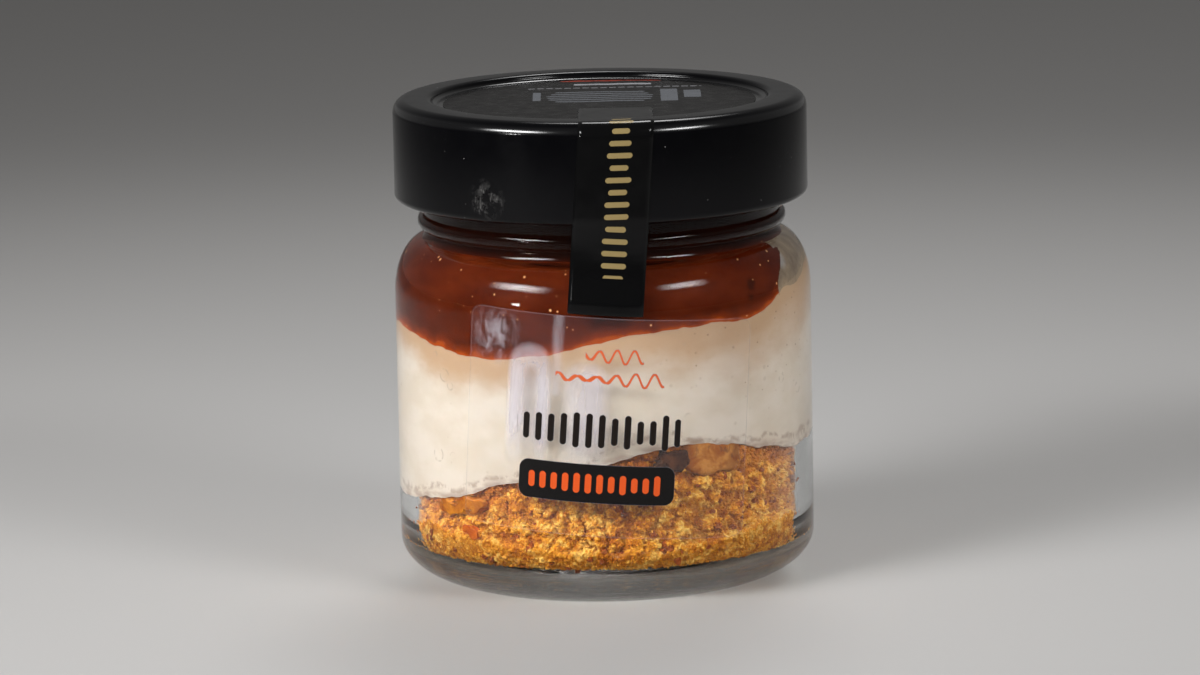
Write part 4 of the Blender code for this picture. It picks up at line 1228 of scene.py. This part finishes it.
def make_crumb_core(finish):
    """The crumb's core. Its points carry where grains may lie, how far below the cream they are and how deep
    in a crevice, which the crumb's colour shows as painted shade."""
    angles = round_angles(CORE_COLUMNS)
    tops = [crumb_top_edge(a) for a in angles]
    floor_z = FLOOR_Z + CORE_LIFT
    flats = [0.0] * CORE_COLUMNS
    rings = [ring_at((BORE_RADIUS - CORNER_RUN) * share, angles, floor_z) for share in CORE_FLOOR_SHARES]
    side, deep = flats * len(rings), flats * len(rings)
    below = [CORE_FLOOR_BELOW] * (len(rings) * CORE_COLUMNS)
    for share in shares(CORE_SIDE_STEPS):
        rise = share**CORE_SIDE_BUNCHING
        heights = [floor_z + CORE_FIRST_LIFT + (top - floor_z - CORE_FIRST_LIFT) * rise for top in tops]
        crevices = [crevice_share(a, z) for a, z in zip(angles, heights)]
        rings.append([at_wall(core_radius(a, z, c), a, z) for a, z, c in zip(angles, heights, crevices)])
        side += [1.0 - hollow_share(a, z) for a, z in zip(angles, heights)]
        below += [(top - z) / MM for top, z in zip(tops, heights)]
        # Crevice depth for the painted shade in the colour, weaker where the crumb is pressed on the glass.
        deep += [c * (1.0 - PRESSED_CREVICE_SHADE_CUT * pressed_share(a, z))
                 for a, z, c in zip(angles, heights, crevices)]
    for share in CORE_TOP_SHARES:
        rings.append([at_wall(bore_radius(top) * share, a, crumb_top(a, share))
                      for a, top in zip(angles, tops)])
        side += flats
        below += flats
        deep += flats
    points, faces = closed_skin((0, 0, floor_z), rings, (0, 0, CRUMB_TOP_CENTRE))
    values = {"side": [0.0] + side + [0.0], "below_cream_mm": [CORE_FLOOR_BELOW] + below + [0.0],
              "crevice": [0.0] + deep + [0.0]}
    return new_piece("crumb_core", points, faces, finish, ROUGH_EDGE, values)


LUMP_SHAPES, LUMP_SHIFT, LUMP_NOISE_SCALE, LUMP_RELIEF = 3, 7.3, 1.3, 2.2
GRAIN_FLATTEST, GRAIN_LONGEST, FULL_TURN = (0.7, 0.7, 0.7), (1.25, 1.25, 1.25), (6.28, 6.28, 6.28)

# Sockets of a random draw by its kind: lowest, highest and the output
DRAW_SOCKETS = {"FLOAT": (2, 3, 1), "FLOAT_VECTOR": (0, 1, 0), "INT": (4, 5, 2)}


def lumpy_shapes(tree, subdivisions):
    """A few small lumps for the scatter to pick from."""
    shapes = tree.nodes.new("GeometryNodeGeometryToInstance")
    for variant in range(LUMP_SHAPES):
        ball = node(tree, "GeometryNodeMeshIcoSphere", "Mesh", Radius=1.0, Subdivisions=subdivisions)
        spot = node(tree, "GeometryNodeInputPosition", 0)
        rough = node(tree, "ShaderNodeTexNoise", "Fac", {"noise_dimensions": "4D"}, Vector=spot,
                     W=variant * LUMP_SHIFT, Scale=LUMP_NOISE_SCALE, Detail=1.0)
        amount = maths("MULTIPLY_ADD", rough, LUMP_RELIEF, -LUMP_RELIEF / 2)
        push = node(tree, "ShaderNodeVectorMath", "Vector", {"operation": "SCALE"}, Vector=spot, Scale=amount)
        lump = node(tree, "GeometryNodeSetPosition", "Geometry", Geometry=ball, Offset=push)
        feed(lump, shapes.inputs[0])
    return Field(tree, shapes.outputs[0])


def scatter_tree(name, subdivisions):
    """Geometry Nodes that strew lumpy grains over the side of the crumb's core."""
    tree = bpy.data.node_groups.new(name, "GeometryNodeTree")
    tree.is_modifier = True
    sockets = (("Core", "NodeSocketGeometry", None), ("Density", "NodeSocketFloat", GRAIN_DENSITY),
               ("Size", "NodeSocketFloat", GRAIN_SIZE), ("Spread", "NodeSocketFloat", GRAIN_SPREAD),
               ("Seed", "NodeSocketInt", 1), ("Finish", "NodeSocketMaterial", None))
    for title, kind, value in sockets:
        made = tree.interface.new_socket(title, in_out="INPUT", socket_type=kind)
        if value is not None:
            made.default_value = value
    tree.interface.new_socket("Crumbs", in_out="OUTPUT", socket_type="NodeSocketGeometry")
    given = {socket.name: Field(tree, socket) for socket in tree.nodes.new("NodeGroupInput").outputs}

    def drawn(kind, lowest, highest, shift):
        """A random draw for each grain. The shift of the seed keeps the draws apart."""
        low, high, output = DRAW_SOCKETS[kind]
        seed = given["Seed"] + float(shift)
        return node(tree, "FunctionNodeRandomValue", output, {"data_type": kind}, Seed=seed,
                    **{"i%d" % low: lowest, "i%d" % high: highest})

    on_side = node(tree, "GeometryNodeInputNamedAttribute", 0, {"data_type": "FLOAT"}, Name="side")
    chosen = node(tree, "FunctionNodeCompare", 0, {"operation": "GREATER_THAN"}, A=on_side, B=0.5)
    points = node(tree, "GeometryNodeDistributePointsOnFaces", "Points", Mesh=given["Core"], Selection=chosen,
                  Density=given["Density"], Seed=given["Seed"])
    size = maths("MULTIPLY_ADD", drawn("FLOAT", -1.0, 1.0, 1), given["Spread"], 1.0) * given["Size"]
    scale = node(tree, "ShaderNodeVectorMath", "Vector", {"operation": "SCALE"},
                 Vector=drawn("FLOAT_VECTOR", GRAIN_FLATTEST, GRAIN_LONGEST, 2), Scale=size)
    turn = drawn("FLOAT_VECTOR", (0.0, 0.0, 0.0), FULL_TURN, 3)
    lumps = lumpy_shapes(tree, subdivisions)
    placed = node(tree, "GeometryNodeInstanceOnPoints", 0, Points=points, Instance=lumps, Rotation=turn,
                  Scale=scale, Pick_Instance=True, Instance_Index=drawn("INT", 0, LUMP_SHAPES - 1, 4))
    toned = node(tree, "GeometryNodeStoreNamedAttribute", 0, {"data_type": "FLOAT", "domain": "INSTANCE"},
                 Geometry=placed, Name="grain_tone", Value=drawn("FLOAT", 0.05, 1.0, 5))
    real = node(tree, "GeometryNodeRealizeInstances", 0, Geometry=toned)
    dressed = node(tree, "GeometryNodeSetMaterial", 0, Geometry=real, Material=given["Finish"])
    feed(dressed, tree.nodes.new("NodeGroupOutput").inputs["Crumbs"])
    return tree


def strew(name, core, tree, **values):
    """Runs the scatter tree on the core with some of its inputs set, and keeps the result as a plain mesh."""
    scatter = core.modifiers.new("Strewn", "NODES")
    scatter.node_group = tree
    for socket in tree.interface.items_tree:
        if socket.in_out == "INPUT" and socket.name in values:
            scatter[socket.identifier] = values[socket.name]
    depsgraph = bpy.context.evaluated_depsgraph_get()
    mesh = bpy.data.meshes.new_from_object(core.evaluated_get(depsgraph))
    core.modifiers.remove(scatter)
    mesh.name = name
    return linked(name, mesh)


def make_crumb():
    core = make_crumb_core(crumb_core_finish())
    crumbs, biscuit = scatter_tree("Strewn crumbs", 1), crumb_grain_finish()
    grains = strew("crumb_grains", core, crumbs, Finish=biscuit, Seed=GRAIN_SEED)
    clumps = strew("crumb_clumps", core, crumbs, Finish=biscuit, Density=CLUMP_DENSITY, Size=CLUMP_SIZE,
                   Spread=CLUMP_SPREAD, Seed=CLUMP_SEED)
    caramel = soft_piece_finish("caramel_bit", *BIT_TINTS, 0.4, 0.9)
    bits = strew("caramel_bits", core, scatter_tree("Strewn caramel", 2), Finish=caramel, Density=BIT_DENSITY,
                 Size=BIT_SIZE, Spread=BIT_SPREAD, Seed=BIT_SEED)
    stands_for(core, "crumb", "crumb_layer")
    for pieces in (grains, clumps, bits):
        stands_for(pieces, "crumb")


# Pressed pieces

def on_the_wall(angle, radius, z, roll):
    """Placement whose X runs along the wall, Y inwards and Z up, rolled about the inward axis."""
    facing = Matrix.Rotation(math.radians(angle), 4, "Z") @ Matrix.Rotation(math.radians(roll), 4, "Y")
    return Matrix.Translation(at_wall(radius, angle, z)) @ facing


def flatten_on_glass(piece):
    """Draws each point beyond the wall back to just inside the glass, under the cream's own skin."""
    for point in piece.data.vertices:
        reach = math.hypot(point.co.x, point.co.y)
        limit = bore_radius(point.co.z) + WALL_BITE / 2
        if reach > limit:
            point.co.x *= limit / reach
            point.co.y *= limit / reach


def rough_up(piece, *reliefs):
    """Pushes each point in or out along its normal by smooth uneven amounts, each a relief and its scale."""
    for relief, scale in reliefs:
        for point in piece.data.vertices:
            point.co += point.normal * relief * noise.noise(point.co * scale)


BANANA_RELIEFS = ((0.0011, 300.0), (0.0004, 1100.0))
BANANA_COLUMNS, BANANA_ROUND_STEPS = 96, 8


def make_banana():
    """Rounded slice lying in the crumb, its rim just into the glass."""
    half, edge = BANANA_THICKNESS / 2, BANANA_RADIUS - BANANA_ROUND
    profile = [(0.0, -half), (BANANA_RADIUS * 0.5, -half)]
    profile += arc((edge, BANANA_ROUND - half), BANANA_ROUND, BANANA_ROUND, -90, 0, BANANA_ROUND_STEPS)
    profile += arc((edge, half - BANANA_ROUND), BANANA_ROUND, BANANA_ROUND, 0, 90, BANANA_ROUND_STEPS)
    profile += [(BANANA_RADIUS * 0.5, half), (0.0, half)]
    piece = turned_piece("banana_slice_soft", profile, banana_finish(), BANANA_COLUMNS, SOFT_EDGE)
    centre = bore_radius(BANANA_Z) + WALL_BITE + BANANA_PRESSED - BANANA_RADIUS
    piece.data.transform(on_the_wall(BANANA_ANGLE, centre, BANANA_Z, BANANA_ROLL))
    rough_up(piece, *BANANA_RELIEFS)
    flatten_on_glass(piece)
    stands_for(piece, "banana", "banana_slice")


LUMP_PRESSED, LUMP_FINE_RELIEF = 0.35, (0.0002, 2200.0)


def make_lump(name, angle, z, half, roll, relief, finish, slot, *nodes):
    """A rounded lump whose outer side reaches just into the glass."""
    along_wall, up, inwards = half
    bm = bmesh.new()
    bmesh.ops.create_icosphere(bm, subdivisions=4, radius=1.0)
    centre = bore_radius(z) + WALL_BITE + LUMP_PRESSED * inwards - inwards
    bm.transform(on_the_wall(angle, centre, z, roll) @ Matrix.Diagonal((along_wall, inwards, up, 1.0)))
    piece = from_bmesh(name, bm, finish)
    piece.data.shade_smooth()
    rough_up(piece, relief, LUMP_FINE_RELIEF)
    flatten_on_glass(piece)
    stands_for(piece, slot, *nodes)


# Pale and deep colour of each soft piece
BIT_TINTS = ((0.34, 0.082, 0.014), (0.17, 0.040, 0.010))
DATE_TINTS = ((0.12, 0.046, 0.022), (0.030, 0.012, 0.008))
CARAMEL_TINTS = ((0.56, 0.190, 0.010), (0.28, 0.060, 0.006))
NUGGET_TINTS = ((0.56, 0.125, 0.012), (0.36, 0.060, 0.006))
DATE_STUCK, DATE_STUCK_TINT = (0.55, 0.85), (0.50, 0.23, 0.06)


def make_inclusions():
    make_banana()
    dark = soft_piece_finish("dark_fruit", *DATE_TINTS, 0.4, 0.6, DATE_STUCK, DATE_STUCK_TINT)
    make_lump("date_chunk", *DATE_SHAPE, dark, "dark_fruit", "date_piece")
    amber = soft_piece_finish("caramel", *CARAMEL_TINTS, 0.3, 0.50)
    make_lump("caramel_smear", *CARAMEL_SHAPE, amber, "caramel", "caramel_pool")
    red = soft_piece_finish("caramel_nugget", *NUGGET_TINTS, 0.3, 0.6)
    make_lump("caramel_nugget_lump", *NUGGET_SHAPE, red, "caramel")


# Studio

CAMERA_ELEVATION, CAMERA_ROLL = math.radians(10.32), math.radians(-1.12)
CAMERA_DISTANCE, CAMERA_AIM_Z = 28.15 * LID_RADIUS, 0.0417
FOCAL_PIXELS, FRAME_PIXELS, CENTRE_PIXELS, SENSOR_WIDTH = 5785.0, 1200.0, -3.94, 36.0


def make_camera():
    lens = bpy.data.cameras.new("camera")
    lens.sensor_width = SENSOR_WIDTH
    lens.lens = FOCAL_PIXELS / FRAME_PIXELS * SENSOR_WIDTH
    lens.shift_x = CENTRE_PIXELS / FRAME_PIXELS
    lens.clip_start, lens.clip_end = 0.01, 100.0
    camera = linked("camera", lens)
    back = CAMERA_DISTANCE * math.cos(CAMERA_ELEVATION)
    up = CAMERA_AIM_Z + CAMERA_DISTANCE * math.sin(CAMERA_ELEVATION)
    facing = Matrix.Rotation(math.pi / 2 - CAMERA_ELEVATION, 4, "X") @ Matrix.Rotation(CAMERA_ROLL, 4, "Z")
    camera.matrix_world = Matrix.Translation((0.0, -back, up)) @ facing
    bpy.context.scene.camera = camera


# Softboxes: name, direction from the front, height angle, distance, size across and up, and power in watts
SOFTBOXES = (("key", -50.0, 29.0, 0.80, 0.56, 0.19, 1.03), ("fill", 48.0, 29.0, 0.80, 0.46, 0.16, 0.45),
             ("glint", -48.0, 7.5, 0.80, 0.085, 0.038, 0.11), ("back", 170.0, 55.0, 0.85, 0.50, 0.30, 0.40))

# A grid on each softbox narrows its beam
BEAM_SPREAD = math.radians(75.0)
SOFTBOX_MIDDLE, SOFTBOX_EDGE_RUN, LIGHTS_AIM_Z = 2.4, 0.4, 0.045


def soften_edges(lamp):
    """Lets a softbox fade out towards its edges."""
    lamp.use_nodes = True
    tree = lamp.node_tree
    place = node(tree, "ShaderNodeNewGeometry", "Parametric")
    across, up = (abs(along(place, axis) - 0.5) for axis in "XY")
    fade = ramp(across, 0.5, 0.5 - SOFTBOX_EDGE_RUN) * ramp(up, 0.5, 0.5 - SOFTBOX_EDGE_RUN)
    feed(fade * SOFTBOX_MIDDLE, tree.nodes["Emission"].inputs["Strength"])


def make_lights():
    aim = Vector((0.0, 0.0, LIGHTS_AIM_Z))
    for name, angle, elevation, distance, across, up, power in SOFTBOXES:
        lamp = bpy.data.lights.new(name, "AREA")
        lamp.shape, lamp.size, lamp.size_y, lamp.energy = "RECTANGLE", across, up, power
        lamp.spread = BEAM_SPREAD
        soften_edges(lamp)
        rise = math.radians(elevation)
        place = at_wall(distance * math.cos(rise), angle, distance * math.sin(rise)) + aim
        facing = (aim - place).to_track_quat("-Z", "Y").to_matrix().to_4x4()
        linked(name, lamp).matrix_world = Matrix.Translation(place) @ facing


FLOOR_GREY, FLOOR_RADIUS = (0.60, 0.59, 0.58), 8.0
SURROUND_GREY, SURROUND_STRENGTH = (0.80, 0.79, 0.78), 0.17


def make_room():
    """Plain pale floor and an even pale surround."""
    finish = painted("floor", Base_Color=FLOOR_GREY, Roughness=0.7, Specular_IOR_Level=0.2)[0]
    bm = bmesh.new()
    bmesh.ops.create_circle(bm, cap_ends=True, segments=64, radius=FLOOR_RADIUS)
    from_bmesh("floor", bm, finish)
    world = bpy.data.worlds.new("surround")
    world.use_nodes = True
    sky = world.node_tree.nodes["Background"]
    feed(SURROUND_GREY, sky.inputs["Color"])
    feed(SURROUND_STRENGTH, sky.inputs["Strength"])
    bpy.context.scene.world = world
    bpy.context.scene.view_settings.view_transform = "Standard"


make_camera()
make_lights()
make_room()
make_jar()
make_lid()
make_sticker()
make_strip()
make_label()
make_toffee()
make_cream()
make_pocket_smear()
make_crumb()
make_inclusions()
